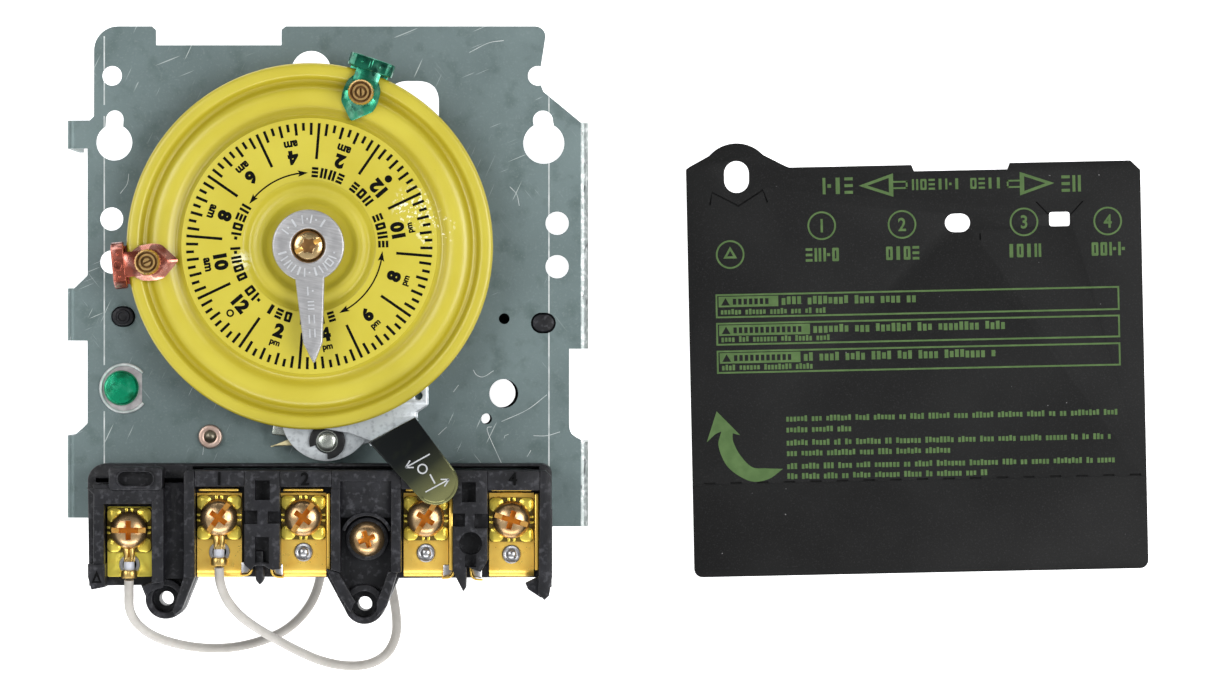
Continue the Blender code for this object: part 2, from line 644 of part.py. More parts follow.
def terminal_block():
    block = place("terminal_block", prism(
        [block_base_outline()] + [circle(lug, LUG_HOLE_R, 12) for lug in LUGS], BLOCK_BACK, BLOCK_FLOOR), BLACK)
    join(block, prism([block_front_outline()], BLOCK_FLOOR - 1.0, BLOCK_FRONT))
    join(block, rod(INSULATOR_SCREW, 5.0, BLOCK_FLOOR - 2.0, BOSS_FRONT))
    join(block, prism([obround((-39.3, -53.9), 8.3, 3.4)], BLOCK_FRONT - 1.0, BLOCK_FRONT + 1.2))
    # Screw bores, blind from the front.
    bores = [rod(centre, SCREW_HOLE_R, 36.6, BLOCK_FRONT + 1.0, 14) for centre in TERMINALS.values()]
    bores.append(rod(INSULATOR_SCREW, SCREW_HOLE_R, 38.0, BOSS_FRONT + 1.0, 14))
    cut(block, group(bores))
    # Contact chambers from the back, with a slot to the front for each terminal's leg.
    chambers = []
    legs = []
    for first, second in POLES:
        left, right = TERMINALS[first][0], TERMINALS[second][0]
        chambers.append(box((left - 4.5, -58.6, BLOCK_BACK - 1.0), (right + 4.5, -51.4, 43.0)))
        legs += [box((x - 2.9, -58.4, 42.0), (x + 2.9, -56.5, BLOCK_FLOOR + 1.0)) for x in (left, right)]
    cut(block, group(chambers), group(legs))
    # Pockets in the front: between A and 1, and in the two dividers.
    pockets = [
        box((-33.4, -76.0, 48.5), (-28.7, -53.6, BLOCK_FRONT + 1.0)),
        box((-12.2, -58.5, 49.5), (-9.0, -54.1, BLOCK_FRONT + 1.0)),
        box((-12.4, -72.7, 49.5), (-9.0, -67.3, BLOCK_FRONT + 1.0)),
        box((35.3, -58.9, 49.5), (38.5, -54.3, BLOCK_FRONT + 1.0)),
        rod((37.3, -68.4), 2.6, 49.5, BLOCK_FRONT + 1.0, 14),
    ]
    cut(block, group(pockets))


def terminal_flat(name, x, y):
    """Stamped terminal: the flat under the screw, and for a switched pole a leg into the block."""
    half = FLAT_WIDTH / 2
    top = -60.0 if name == "a" else -56.9
    corner = 1.2
    outline = [(x - half, top), (x - half, FLAT_BOTTOM + corner), (x - half + corner, FLAT_BOTTOM),
               (x + half - corner, FLAT_BOTTOM), (x + half, FLAT_BOTTOM + corner), (x + half, top)]
    holes = [circle((x, y), SCREW_HOLE_R, 14)]
    if name in WIRED:
        holes.append(circle((x, y - RIVET_DROP), 2.15, 14))
    flat = place("terminal_" + name, prism([outline] + holes, FLAT_BACK, FLAT_FRONT), BRASS)
    if name != "a":
        join(flat, box((x - 2.5, -57.9, 37.0), (x + 2.5, top - 0.1, FLAT_FRONT - 0.2)))
    if name not in WIRED:
        join(flat, rod((x, y - RIVET_DROP), 2.15, FLAT_FRONT - 0.5, FLAT_FRONT + 0.7, 16))


def terminal_clamp(name, x, y):
    """Square pressure plate held under the terminal screw's head."""
    half = CLAMP_SIDE / 2
    square = [(x - half, y - half), (x + half, y - half), (x + half, y + half), (x - half, y + half)]
    place("clamp_plate_" + name, prism([square, circle((x, y), SCREW_HOLE_R + 0.1, 14)], CLAMP_BACK, CLAMP_FRONT),
          BRASS, (x, y, 0.0))
    head_r = 4.35
    screw = turned("terminal_screw_" + name, [
        (0.0, 52.6), (2.4, 52.3), (3.8, 51.5), (head_r, 50.5), (head_r, HEAD_BACK), (SCREW_R, HEAD_BACK),
        (SCREW_R, 38.5), (0.0, 38.5),
    ], BRONZE, (x, y), 20)
    cut(screw, box((x - 0.6, y - 5.0, 51.4), (x + 0.6, y + 5.0, 54.0)))


def ferrule(name, x, y):
    """Crimped barrel on the end of a motor lead, in front of the terminal's flat."""
    place("ferrule_" + name, rod((x, FLAT_FRONT + GAP + 1.5), 1.5, y - FERRULE_DROP, y - FERRULE_DROP + 6.0, 12, "Y"),
          BRASS)


def contact_arm(number, first, second):
    """Moving contact on a pin: its button meets the second terminal's leg."""
    left, right = TERMINALS[first][0], TERMINALS[second][0]
    pivot = (left, ARM_Y + 0.4)
    arm = place("contact_arm_%d" % number, box((left, ARM_Y - 0.1, 38.0), (right + 1.8, ARM_Y + 0.9, 41.5)),
                BRASS, (*pivot, 0.0))
    join(arm, rod(pivot, 1.2, 36.5, 42.5, 14))
    join(arm, box((right - 1.4, -56.6, 38.4), (right + 1.4, ARM_Y + 0.2, 41.1)))


# ---------------------------------------------------------------- fasteners and leads

def ground_screw():
    x, y = GROUND_SCREW
    hexagon = arc((x, y), 3.7, 0, 300, 5)
    screw = place("ground_screw", prism([hexagon], 35.6, 38.9), GROUND_GREEN, (x, y, 0.0))
    join(screw, rod((x, y), 4.1, PLATE_FRONT + GAP, 35.9, 24))
    join(screw, rod((x, y), 2.0, 26.0, 35.2, 14))
    cut(screw, box((x - 4.0, y - 0.6, 37.6), (x + 4.0, y + 0.6, 40.0)))


def stud():
    turned("plate_stud", [
        (0.0, 36.5), (1.1, 36.3), (1.7, 35.7), (2.0, 35.5), (2.8, 35.3), (2.8, PLATE_FRONT + GAP),
        (1.4, PLATE_FRONT + GAP), (1.4, 31.9), (0.0, 31.9),
    ], BRONZE, STUD, 20)


def insulator_screw():
    x, y = INSULATOR_SCREW
    head_r = 4.05
    screw = turned("insulator_screw", [
        (0.0, 53.0), (2.2, 52.8), (3.5, 52.0), (head_r, 51.0), (head_r, BOSS_FRONT + GAP),
        (SCREW_R, BOSS_FRONT + GAP), (SCREW_R, 40.0), (0.0, 40.0),
    ], BRONZE, INSULATOR_SCREW, 20)
    cross = [box((x - 0.5, y - 2.0, 51.8), (x + 0.5, y + 2.0, 54.0)),
             box((x - 2.0, y - 0.5, 51.8), (x + 2.0, y + 0.5, 54.0))]
    cut(screw, *cross)


def smooth(points, steps):
    """Points on a smooth curve through the route's own points (Catmull-Rom)."""
    ends = [2 * points[0] - points[1]] + points + [2 * points[-1] - points[-2]]
    result = []
    for i in range(1, len(ends) - 2):
        p0, p1, p2, p3 = ends[i - 1:i + 3]
        for step in range(steps):
            t = step / steps
            result.append(0.5 * (2 * p1 + (p2 - p0) * t + (2 * p0 - 5 * p1 + 4 * p2 - p3) * t ** 2
                                 + (3 * p1 - p0 - 3 * p2 + p3) * t ** 3))
    return result + [points[-1]]


def lead(name, route):
    """A motor lead: a round tube along a smooth curve through its route."""
    points = smooth([Vector(point) for point in route], 2)
    curve = bpy.data.curves.new(name, "CURVE")
    curve.dimensions = "3D"
    curve.bevel_depth = LEAD_D / 2 * MM
    curve.bevel_resolution = 2
    curve.use_fill_caps = True
    spline = curve.splines.new("POLY")
    spline.points.add(len(points) - 1)
    for place_on, point in zip(spline.points, points):
        place_on.co = (*(point * MM), 1.0)
    obj = bpy.data.objects.new(name, curve)
    PARTS.objects.link(obj)
    obj.parent = FRAME
    curve.materials.append(LEAD_GREY)


LEAD_A = [
    (-41.4, -76.9, 49.5), (-41.5, -80.0, 48.6), (-41.6, -84.0, 44.5), (-40.3, -87.6, 37.0), (-37.0, -91.0, 26.0),
    (-31.8, -93.4, 14.5), (-26.0, -94.6, 6.5), (-19.6, -94.5, 2.6), (-13.2, -93.0, 1.3), (-7.6, -90.4, 1.3),
    (-3.3, -86.4, 1.4), (-0.5, -81.5, 1.8), (1.0, -75.0, 2.6), (1.7, -67.0, 3.7), (1.9, -58.0, 4.8),
    (1.7, -49.0, 5.8), (1.3, -40.0, 6.7), (0.8, -31.0, 7.5), (0.3, -22.0, 8.2), (0.0, -13.3, 8.6),
]
LEAD_1 = [
    (-20.7, -74.0, 49.5), (-20.5, -77.4, 48.6), (-19.3, -81.4, 44.6), (-16.8, -85.3, 38.0), (-13.2, -88.8, 29.0),
    (-9.0, -92.0, 19.0), (-4.2, -95.2, 10.0), (1.2, -97.8, 4.2), (6.8, -99.0, 1.7), (12.0, -98.6, 1.3),
    (16.0, -96.4, 1.3), (18.2, -92.6, 1.4), (18.6, -88.0, 1.7), (17.6, -81.0, 2.4), (15.8, -73.0, 3.3),
    (13.8, -64.0, 4.3), (12.0, -55.0, 5.3), (10.5, -46.0, 6.2), (9.2, -36.0, 7.2), (8.4, -25.0, 8.1),
    (8.0, -13.3, 8.6),
]


# ---------------------------------------------------------------- insulator sheet

def sheet_piece(name, loops, at):
    """A flat piece of the insulator, turned a little on the surface, with its origin at `at`."""
    mesh = prism(loops, 0.0, SHEET_T)
    middle = ((SHEET_LEFT + SHEET_RIGHT) / 2, (8.0 + SHEET_BOTTOM) / 2)
    pivot = Matrix.Translation(mm((*middle, 0.0)))
    turn = pivot @ Matrix.Rotation(SHEET_TURN, 4, "Z") @ pivot.inverted()
    to_place = Matrix.Translation(mm((*SHEET, 0.0))) @ turn
    mesh.transform(to_place)
    return place(name, mesh, FIBRE, tuple(to_place @ mm(at) / MM))


def insulator():
    left, right = SHEET_LEFT, SHEET_RIGHT
    gap = 0.15
    outline = [(left, FOLD_Y + gap), (right, FOLD_Y + gap)] + [(right, -0.3), (right - 2.3, 2.0)]
    outline += [(65.0, 2.0), (64.4, 0.5), (42.2, 0.5), (41.6, 2.0), (12.5, 2.0), (11.2, 2.6)]
    outline += arc((0.0, -0.6), 8.6, 42, 138, 8) + [(-11.2, 2.6), (left, 2.0)]
    holes = [
        obround((0.0, 0.0), 7.6, 5.9, turn=90), obround((52.3, -12.0), 6.0, 4.4, 4),
        round_box((73.8, -13.3), (79.6, -9.7), 1.2, 2),
    ]
    sheet_piece("insulator_sheet", [outline] + holes, (0.0, 0.0, 0.0))
    flap = [(right, FOLD_Y - gap), (left, FOLD_Y - gap)]
    flap += arc((left + 2.0, SHEET_BOTTOM + 2.0), 2.0, 180, 270, 4)
    flap += arc((right - 2.0, SHEET_BOTTOM + 2.0), 2.0, 270, 360, 4)
    sheet_piece("insulator_flap", [flap], ((left + right) / 2, FOLD_Y, SHEET_T))


# ---------------------------------------------------------------- the whole part

def build():
    mounting_plate()
    rear_housing()
    motor()
    dial_post()
    gears()
    dial()
    dial_bushing()
    dial_spring()
    pointer()
    for name, angle in TRIPPERS.items():
        tripper(name, angle)
    manual_lever()
    cam_group()
    terminal_block()
    for name, (x, y) in TERMINALS.items():
        terminal_flat(name, x, y)
        terminal_clamp(name, x, y)
        if name in WIRED:
            ferrule(name, x, y)
    for number, (first, second) in enumerate(POLES, 1):
        contact_arm(number, first, second)
    ground_screw()
    stud()
    insulator_screw()
    lead("lead_a", LEAD_A)
    lead("lead_1", LEAD_1)
    insulator()


build()
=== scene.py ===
"""Looks of the dial time switch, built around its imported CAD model.

Everything is drawn in millimetres about the dial's axis, with zero height where the switch stands, and add()
moves it into the model's own frame. Places come from the CAD nodes' boxes wherever a node has them.
"""

import random
from functools import cache
from math import asin, cos, degrees, hypot, pi, radians, sin

import bmesh
import bpy
from mathutils import Matrix, Vector


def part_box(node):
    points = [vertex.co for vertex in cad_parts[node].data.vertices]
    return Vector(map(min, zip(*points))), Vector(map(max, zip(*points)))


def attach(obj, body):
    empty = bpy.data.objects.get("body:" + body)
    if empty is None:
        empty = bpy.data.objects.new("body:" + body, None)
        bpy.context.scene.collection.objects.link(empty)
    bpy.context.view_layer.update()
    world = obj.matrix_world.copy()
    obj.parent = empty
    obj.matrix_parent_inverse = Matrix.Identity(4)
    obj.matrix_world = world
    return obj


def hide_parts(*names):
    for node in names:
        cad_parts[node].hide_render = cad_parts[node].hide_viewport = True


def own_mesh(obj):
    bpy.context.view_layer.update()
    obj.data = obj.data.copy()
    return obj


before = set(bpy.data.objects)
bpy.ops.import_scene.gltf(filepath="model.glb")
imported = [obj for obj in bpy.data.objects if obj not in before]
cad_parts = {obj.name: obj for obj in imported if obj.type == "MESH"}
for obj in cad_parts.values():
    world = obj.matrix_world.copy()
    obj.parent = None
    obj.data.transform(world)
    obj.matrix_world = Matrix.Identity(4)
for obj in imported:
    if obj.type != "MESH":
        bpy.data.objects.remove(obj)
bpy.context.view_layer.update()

MM = 0.001


def dial_axis():
    low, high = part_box("dial")
    return Vector(((low.x + high.x) / 2, (low.y + high.y) / 2, 0.0))


AXIS = dial_axis()
TO_WORLD = Matrix.Translation(AXIS) @ Matrix.Scale(MM, 4)


def node_box(node):
    """A CAD node's lowest and highest corners, in millimetres about the dial's axis."""
    low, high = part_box(node)
    return (low - AXIS) / MM, (high - AXIS) / MM


def middle(node):
    low, high = node_box(node)
    return ((low.x + high.x) / 2, (low.y + high.y) / 2)


def linked(name, data):
    """A new object in the scene."""
    obj = bpy.data.objects.new(name, data)
    bpy.context.scene.collection.objects.link(obj)
    return obj


# ---------------------------------------------------------------- outlines

def arc(centre, radius, start, end, steps):
    """Points on an arc, from the start angle to the end angle in degrees."""
    angles = [radians(start + (end - start) * i / steps) for i in range(steps + 1)]
    return [(centre[0] + radius * cos(a), centre[1] + radius * sin(a)) for a in angles]


def polar(radius, angle):
    return (radius * cos(radians(angle)), radius * sin(radians(angle)))


def circle(centre, radius, steps=48):
    return arc(centre, radius, 0.0, 360.0, steps)[:-1]


def obround(centre, length, width, turn=0.0, steps=14):
    """A slot outline, whose length runs along X before it is turned."""
    across, along = polar((length - width) / 2, turn)
    first = arc((centre[0] + across, centre[1] + along), width / 2, turn - 90, turn + 90, steps)
    last = arc((centre[0] - across, centre[1] - along), width / 2, turn + 90, turn + 270, steps)
    return first + last


def rectangle(x0, y0, x1, y1):
    return [(x0, y0), (x1, y0), (x1, y1), (x0, y1)]


def keyhole(neck, neck_r, bulb, bulb_r):
    """A round bulb with a narrower round-ended neck above it."""
    half = degrees(asin(neck_r / bulb_r))
    return arc(bulb, bulb_r, 90 + half, 450 - half, 44) + arc(neck, neck_r, 0, 180, 16)


def rounded(points, radius, steps=4):
    """The same closed outline with its corners rounded off, as far as its sides leave room."""
    result = []
    for before, corner, after in zip(points[-1:] + points[:-1], points, points[1:] + points[:1]):
        a, b, c = Vector(before), Vector(corner), Vector(after)
        reach = min(radius, (a - b).length * 0.45, (c - b).length * 0.45)
        start, end = b + (a - b).normalized() * reach, b + (c - b).normalized() * reach
        for i in range(steps + 1):
            t = i / steps
            result.append(tuple(start * (1 - t) ** 2 + b * 2 * t * (1 - t) + end * t ** 2))
    return result


def turned_points(points, angle, centre=(0.0, 0.0)):
    """Points turned about the origin by an angle in degrees, then moved to a centre."""
    c, s = cos(radians(angle)), sin(radians(angle))
    return [(centre[0] + x * c - y * s, centre[1] + x * s + y * c) for x, y in points]


def scaled(points, share, centre=(0.0, 0.0)):
    return [(centre[0] + (x - centre[0]) * share, centre[1] + (y - centre[1]) * share) for x, y in points]


def ribbon(points, width):
    """Outline of a stroke of one width along a line of points."""
    left, right = [], []
    for i, point in enumerate(points):
        before, after = Vector(points[max(i - 1, 0)]), Vector(points[min(i + 1, len(points) - 1)])
        along = (after - before).normalized()
        side = Vector((-along.y, along.x)) * width / 2
        left.append(tuple(Vector(point) + side))
        right.append(tuple(Vector(point) - side))
    return left + right[::-1]


def smooth(points, steps):
    """Points on a smooth curve through the given points (Catmull-Rom)."""
    points = [Vector(point) for point in points]
    ends = [2 * points[0] - points[1]] + points + [2 * points[-1] - points[-2]]
    result = []
    for i in range(1, len(ends) - 2):
        p0, p1, p2, p3 = ends[i - 1:i + 3]
        for step in range(steps):
            t = step / steps
            result.append(0.5 * (2 * p1 + (p2 - p0) * t + (2 * p0 - 5 * p1 + 4 * p2 - p3) * t ** 2
                                 + (3 * p1 - p0 - 3 * p2 + p3) * t ** 3))
    return [tuple(point) for point in result + [points[-1]]]


# ---------------------------------------------------------------- meshes, in millimetres

WELD = 0.0005
ABOVE = 60.0
ROLL = Matrix(((0, 0, 1, 0), (1, 0, 0, 0), (0, 1, 0, 0), (0, 0, 0, 1)))
SWAP_Y_AND_Z = Matrix(((1, 0, 0, 0), (0, 0, 1, 0), (0, 1, 0, 0), (0, 0, 0, 1)))


def mesh_of(bm):
    bmesh.ops.recalc_face_normals(bm, faces=bm.faces)
    mesh = bpy.data.meshes.new("mesh")
    bm.to_mesh(mesh)
    bm.free()
    return mesh


def evaluated(obj):
    """The evaluated mesh of a scratch object, which is then removed."""
    graph = bpy.context.evaluated_depsgraph_get()
    mesh = bpy.data.meshes.new_from_object(obj.evaluated_get(graph))
    bpy.data.objects.remove(obj)
    return mesh


def curve(name, loops, closed, **settings):
    """A curve with straight spans through each loop's points."""
    data = bpy.data.curves.new(name, "CURVE")
    for setting, value in settings.items():
        setattr(data, setting, value)
    for loop in loops:
        spline = data.splines.new("POLY")
        spline.points.add(len(loop) - 1)
        for point, place in zip(spline.points, loop):
            point.co = Vector(place).to_4d()
        spline.use_cyclic_u = closed
    return data


def wire(name, points, radius, sides):
    """A round wire along a line of points. Sides is the curve's bevel resolution."""
    return curve(name, [points], False, dimensions="3D", bevel_depth=radius, bevel_resolution=sides,
                 use_fill_caps=True)


def welded(data, distance=WELD):
    """A curve's mesh with its doubled points joined. The curve is removed."""
    mesh = evaluated(linked("scratch", data))
    bpy.data.curves.remove(data)
    bm = bmesh.new()
    bm.from_mesh(mesh)
    bpy.data.meshes.remove(mesh)
    bmesh.ops.remove_doubles(bm, verts=bm.verts, dist=distance)
    return bm


def prism(loops, low, high, edge=0.0, steps=1):
    """A flat solid between two heights. The first loop is its outline, the others are its holes, and edge
    is the radius of its rims."""
    bm = welded(curve("outline", loops, True, dimensions="2D", fill_mode="BOTH", bevel_depth=edge,
                      bevel_resolution=steps, extrude=(high - low) / 2 - edge, offset=-edge))
    bmesh.ops.translate(bm, verts=bm.verts, vec=(0.0, 0.0, (low + high) / 2))
    return mesh_of(bm)


def side_prism(points, x0, x1, edge=0.0, steps=1):
    """A solid whose outline is drawn in Y and Z, between two places along X."""
    mesh = prism([points], x0, x1, edge, steps)
    mesh.transform(ROLL)
    return mesh


def tube(points, radius, sides):
    return mesh_of(welded(wire("wire", points, radius, sides)))


def lathe(profile, centre=(0.0, 0.0), steps=64):
    """A turned solid about an upright axis. The profile's (radius, height) pairs start and end on the axis,
    or the profile closes on itself."""
    bm = bmesh.new()
    verts = [bm.verts.new((radius, 0.0, height)) for radius, height in profile]
    edges = [bm.edges.new(pair) for pair in zip(verts, verts[1:])]
    if profile[0][0] > 0.0:
        edges.append(bm.edges.new((verts[-1], verts[0])))
    bmesh.ops.spin(bm, geom=verts + edges, axis=(0, 0, 1), cent=(0, 0, 0), steps=steps, angle=2 * pi)
    bmesh.ops.remove_doubles(bm, verts=bm.verts, dist=WELD)
    bmesh.ops.translate(bm, verts=bm.verts, vec=(*centre, 0.0))
    return mesh_of(bm)


def box_matrix(centre, size):
    return Matrix.Translation(centre) @ Matrix.Diagonal((*size, 1.0))


def block(low, high, edge=0.0, steps=2):
    """A box with rounded edges."""
    low, high = Vector(low), Vector(high)
    bm = bmesh.new()
    bmesh.ops.create_cube(bm, size=1.0, matrix=box_matrix((low + high) / 2, high - low))
    if edge:
        bmesh.ops.bevel(bm, geom=bm.edges[:], offset=edge, segments=steps, profile=0.5, affect="EDGES")
    return mesh_of(bm)


def ball(centre, radii, rings=12):
    bm = bmesh.new()
    matrix = box_matrix(centre, radii)
    bmesh.ops.create_uvsphere(bm, u_segments=20, v_segments=rings, radius=1.0, matrix=matrix)
    return mesh_of(bm)


def merged(meshes):
    bm = bmesh.new()
    for mesh in meshes:
        bm.from_mesh(mesh)
        bpy.data.meshes.remove(mesh)
    result = bpy.data.meshes.new("mesh")
    bm.to_mesh(result)
    bm.free()
    return result


def moved(mesh, place=(0.0, 0.0, 0.0), turn=0.0, axis="Z"):
    """The mesh turned about an axis through the origin, then moved."""
    mesh.transform(Matrix.Translation(place) @ Matrix.Rotation(radians(turn), 4, axis))
    return mesh


def carve(mesh, *cutters):
    """The mesh with the cutters' shapes taken out of it."""
    target = linked("target", mesh)
    tools = [linked("tool", cutter) for cutter in cutters]
    for tool in tools:
        modifier = target.modifiers.new("cut", "BOOLEAN")
        modifier.operation = "DIFFERENCE"
        modifier.solver = "EXACT"
        modifier.object = tool
    result = evaluated(target)
    for tool in tools:
        bpy.data.objects.remove(tool)
    return result


def softened(mesh, width):
    """The mesh with its sharp edges rounded by a bevel."""
    obj = linked("soft", mesh)
    bevel = obj.modifiers.new("bevel", "BEVEL")
    bevel.width = width
    bevel.segments = 2
    bevel.limit_method = "ANGLE"
    bevel.angle_limit = radians(30)
    bevel.miter_outer = "MITER_ARC"
    return evaluated(obj)


def chamfered(outline, inner, low, shoulder, high):
    """A solid with upright sides up to its shoulder, then a sloped band up to a smaller top."""
    bm = bmesh.new()
    layers = ((outline, low), (outline, shoulder), (inner, high))
    rings = [[bm.verts.new((x, y, z)) for x, y in loop] for loop, z in layers]
    bm.faces.new(rings[0])
    bm.faces.new(rings[-1])
    for lower, upper in zip(rings, rings[1:]):
        for i, vert in enumerate(lower):
            after = (i + 1) % len(lower)
            bm.faces.new((vert, lower[after], upper[after], upper[i]))
    return mesh_of(bm)


def paint(mesh, test):
    """Give each face the finish whose number the test gives for its middle."""
    for face in mesh.polygons:
        face.material_index = int(test(face.center))
    return mesh


def mark_loops(kind, width, height, stroke):
    """One of several abstract signs that stand in for a letter, as the loops of its flat solids."""
    x, y, half = width / 2, height / 2, stroke / 2
    bar = [rectangle(-x, -y, stroke - x, y)]
    if kind == 0:
        hole = rectangle(stroke - x, stroke - y, x - stroke, y - stroke)
        return [[rounded(rectangle(-x, -y, x, y), 0.3), rounded(hole, 0.2)]]
    if kind == 1:
        return [bar, [rectangle(x - stroke, -y, x, y)]]
    if kind == 2:
        return [[rectangle(-x, level - half, x, level + half)] for level in (half - y, 0.0, y - half)]
    if kind == 3:
        return [bar, [rectangle(x - stroke * 1.2, -stroke * 0.6, x, stroke * 0.6)]]
    return [[rectangle(-stroke * 0.7, -y, stroke * 0.7, y)]]


def signs(kinds, spots, size, stroke, low, high, first=0):
    """Abstract signs of random kinds on (place, turn) spots."""
    for place, turn in spots:
        solids = [prism(loops, low, high) for loops in mark_loops(kinds.randrange(first, 5), *size, stroke)]
        yield moved(merged(solids), (*place, 0.0), turn)


def lettering(text, height, place, turn, low, high, width, weight):
    """Numbers or short marks as a thin raised shape, centred on a place."""
    data = bpy.data.curves.new("text", "FONT")
    data.body = text
    data.align_x, data.align_y = "CENTER", "CENTER"
    data.resolution_u = 4
    data.extrude = 0.5
    data.offset = weight
    bm = welded(data, 0.0001)
    xs, ys = [v.co.x for v in bm.verts], [v.co.y for v in bm.verts]
    centre = Vector(((min(xs) + max(xs)) / 2, (min(ys) + max(ys)) / 2, 0.0))
    scale = height / (max(ys) - min(ys))
    bmesh.ops.translate(bm, verts=bm.verts, vec=-centre)
    bmesh.ops.scale(bm, verts=bm.verts, vec=(scale * width, scale, high - low))
    return moved(mesh_of(bm), (*place, (low + high) / 2), turn)


def add(name, shape, finishes, body="root", stands_for=None, angle=35.0):
    """A finished piece of one mesh or several. It goes into the frame, rides on a body, and stands for the
    CAD node of its own name, where there is one, or for another. Its faces' numbers choose the finish."""
    mesh = shape if isinstance(shape, bpy.types.Mesh) else merged(shape)
    mesh.transform(TO_WORLD)
    obj = linked(name, mesh)
    materials = [finish(each) for each in finishes.split()]
    marks = [min(face.material_index, len(materials) - 1) for face in mesh.polygons]
    mesh.materials.clear()
    for material in materials:
        mesh.materials.append(material)
    mesh.polygons.foreach_set("material_index", marks)
    mesh.shade_smooth()
    mesh.set_sharp_from_angle(angle=radians(angle))
    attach(obj, body)
    node = stands_for or name
    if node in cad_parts:
        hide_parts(node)
    return obj


# ---------------------------------------------------------------- materials

def feed(tree, node, socket, value):
    """Link another node's socket to an input, or set the input's own value."""
    if isinstance(value, bpy.types.NodeSocket):
        tree.links.new(value, node.inputs[socket])
    else:
        node.inputs[socket].default_value = value


def new_node(tree, kind, output, inputs=None, **settings):
    """Make a node, feed its inputs, and give one of its outputs."""
    node = tree.nodes.new("ShaderNode" + kind)
    for setting, value in settings.items():
        setattr(node, setting, value)
    for socket, value in (inputs or {}).items():
        feed(tree, node, socket, value)
    return node.outputs[output]


class Shades:
    """One material's nodes. Its textures lie in the object's own space, so they ride with the piece."""

    def __init__(self, name, slot, colour, roughness, metallic=0.0, **sockets):
        self.material = bpy.data.materials.new(name)
        self.material["slot"] = slot
        self.material.use_nodes = True
        self.tree = self.material.node_tree
        self.shader = self.tree.nodes["Principled BSDF"]
        self.place = self.node("TexCoord", "Object")
        self.colour, self.relief = (*colour, 1.0), None
        self.set("Metallic", metallic)
        self.set("Base Color", self.colour)
        self.set("Roughness", roughness)
        for socket, value in sockets.items():
            self.set(socket.replace("_", " "), value)

    def node(self, kind, output, inputs=None, **settings):
        return new_node(self.tree, kind, output, inputs, **settings)

    def set(self, socket, value):
        feed(self.tree, self.shader, socket, value)

    def turned(self, turn, stretch=(1.0, 1.0, 1.0)):
        """The place, turned about Z and then stretched."""
        vector = self.node("Mapping", "Vector", {"Vector": self.place, "Rotation": (0.0, 0.0, radians(turn))})
        return self.node("Mapping", "Vector", {"Vector": vector, "Scale": stretch})

    def noise(self, size, detail, stretch=(1.0, 1.0, 1.0), turn=0.0):
        """Noise whose features are about `size` millimetres across."""
        return self.node("TexNoise", "Fac", {"Vector": self.turned(turn, stretch), "Scale": 1.0 / (size * MM),
                                             "Detail": detail})

    def steps(self, value, low, high, start=0.0, end=1.0):
        """A value spread over a range, and held at its ends."""
        return self.node("MapRange", "Result", {"Value": value, "From Min": low, "From Max": high,
                                                "To Min": start, "To Max": end})

    def near(self, place, radius, soft):
        """One inside a ball about a place in millimetres, fading to nothing over its soft edge."""
        distance = self.node("VectorMath", "Value", {0: self.place, 1: TO_WORLD @ Vector(place)},
                             operation="DISTANCE")
        return self.steps(distance, (radius + soft) * MM, radius * MM)

    def below(self, high, low):
        """Rises from nothing at one height to one at a lower height, both in millimetres."""
        high, low = [(TO_WORLD @ Vector((0.0, 0.0, height))).z for height in (high, low)]
        return self.steps(self.node("SeparateXYZ", "Z", {"Vector": self.place}), high, low)

    def product(self, first, second):
        return self.node("Math", "Value", {0: first, 1: second}, operation="MULTIPLY")

    def tint(self, amount, colour):
        """Mix another colour in where the amount is high."""
        self.colour = self.node("Mix", "Result", {"Factor": amount, "A": self.colour, "B": (*colour, 1.0)},
                                data_type="RGBA")
        self.set("Base Color", self.colour)

    def clouds(self, size, detail, low, high, colour, most=1.0, **noise):
        """Patches of another colour where noise lies above a range."""
        self.tint(self.steps(self.noise(size, detail, **noise), low, high, 0.0, most), colour)

    def rough(self, size, detail, low, high):
        """Roughness between two values, by noise."""
        self.set("Roughness", self.steps(self.noise(size, detail), 0.0, 1.0, low, high))

    def bump(self, value, depth):
        """Small relief, with its depth in millimetres."""
        relief = self.node("Bump", "Normal", {"Distance": depth * MM, "Strength": 1.0, "Height": value})
        if self.relief:
            feed(self.tree, relief.node, "Normal", self.relief)
        self.relief = relief
        self.set("Normal", relief)

    def grain(self, size, detail, depth, **noise):
        self.bump(self.noise(size, detail, **noise), depth)

    def scratches(self, turns, size, density, colour, depth):
        """Thin straight scratches in several directions."""
        for turn in turns:
            lines = self.noise(size, 1.0, (1.0, 0.035, 1.0), turn)
            patches = self.noise(size * 50, 1.0, turn=turn + 40)
            thin = self.steps(lines, density, density + 0.03)
            amount = self.product(thin, self.steps(patches, 0.52, 0.6))
            self.tint(amount, colour)
            self.bump(amount, -depth)


def zinc_plate(*names):
    """Galvanised sheet: grey-green, mottled, with fine grain and scratches."""
    m = Shades(*names, (0.15, 0.2, 0.2), 0.42, 0.55)
    m.clouds(26.0, 4.0, 0.35, 0.7, (0.19, 0.25, 0.25))
    m.clouds(5.0, 5.0, 0.52, 0.75, (0.11, 0.155, 0.15))
    m.clouds(0.5, 3.0, 0.55, 0.8, (0.27, 0.32, 0.32), 0.4)
    m.scratches((25.0, -38.0, 68.0), 0.45, 0.71, (0.5, 0.55, 0.54), 0.01)
    m.rough(3.0, 5.0, 0.34, 0.56)
    m.grain(0.45, 4.0, 0.02)
    return m.material


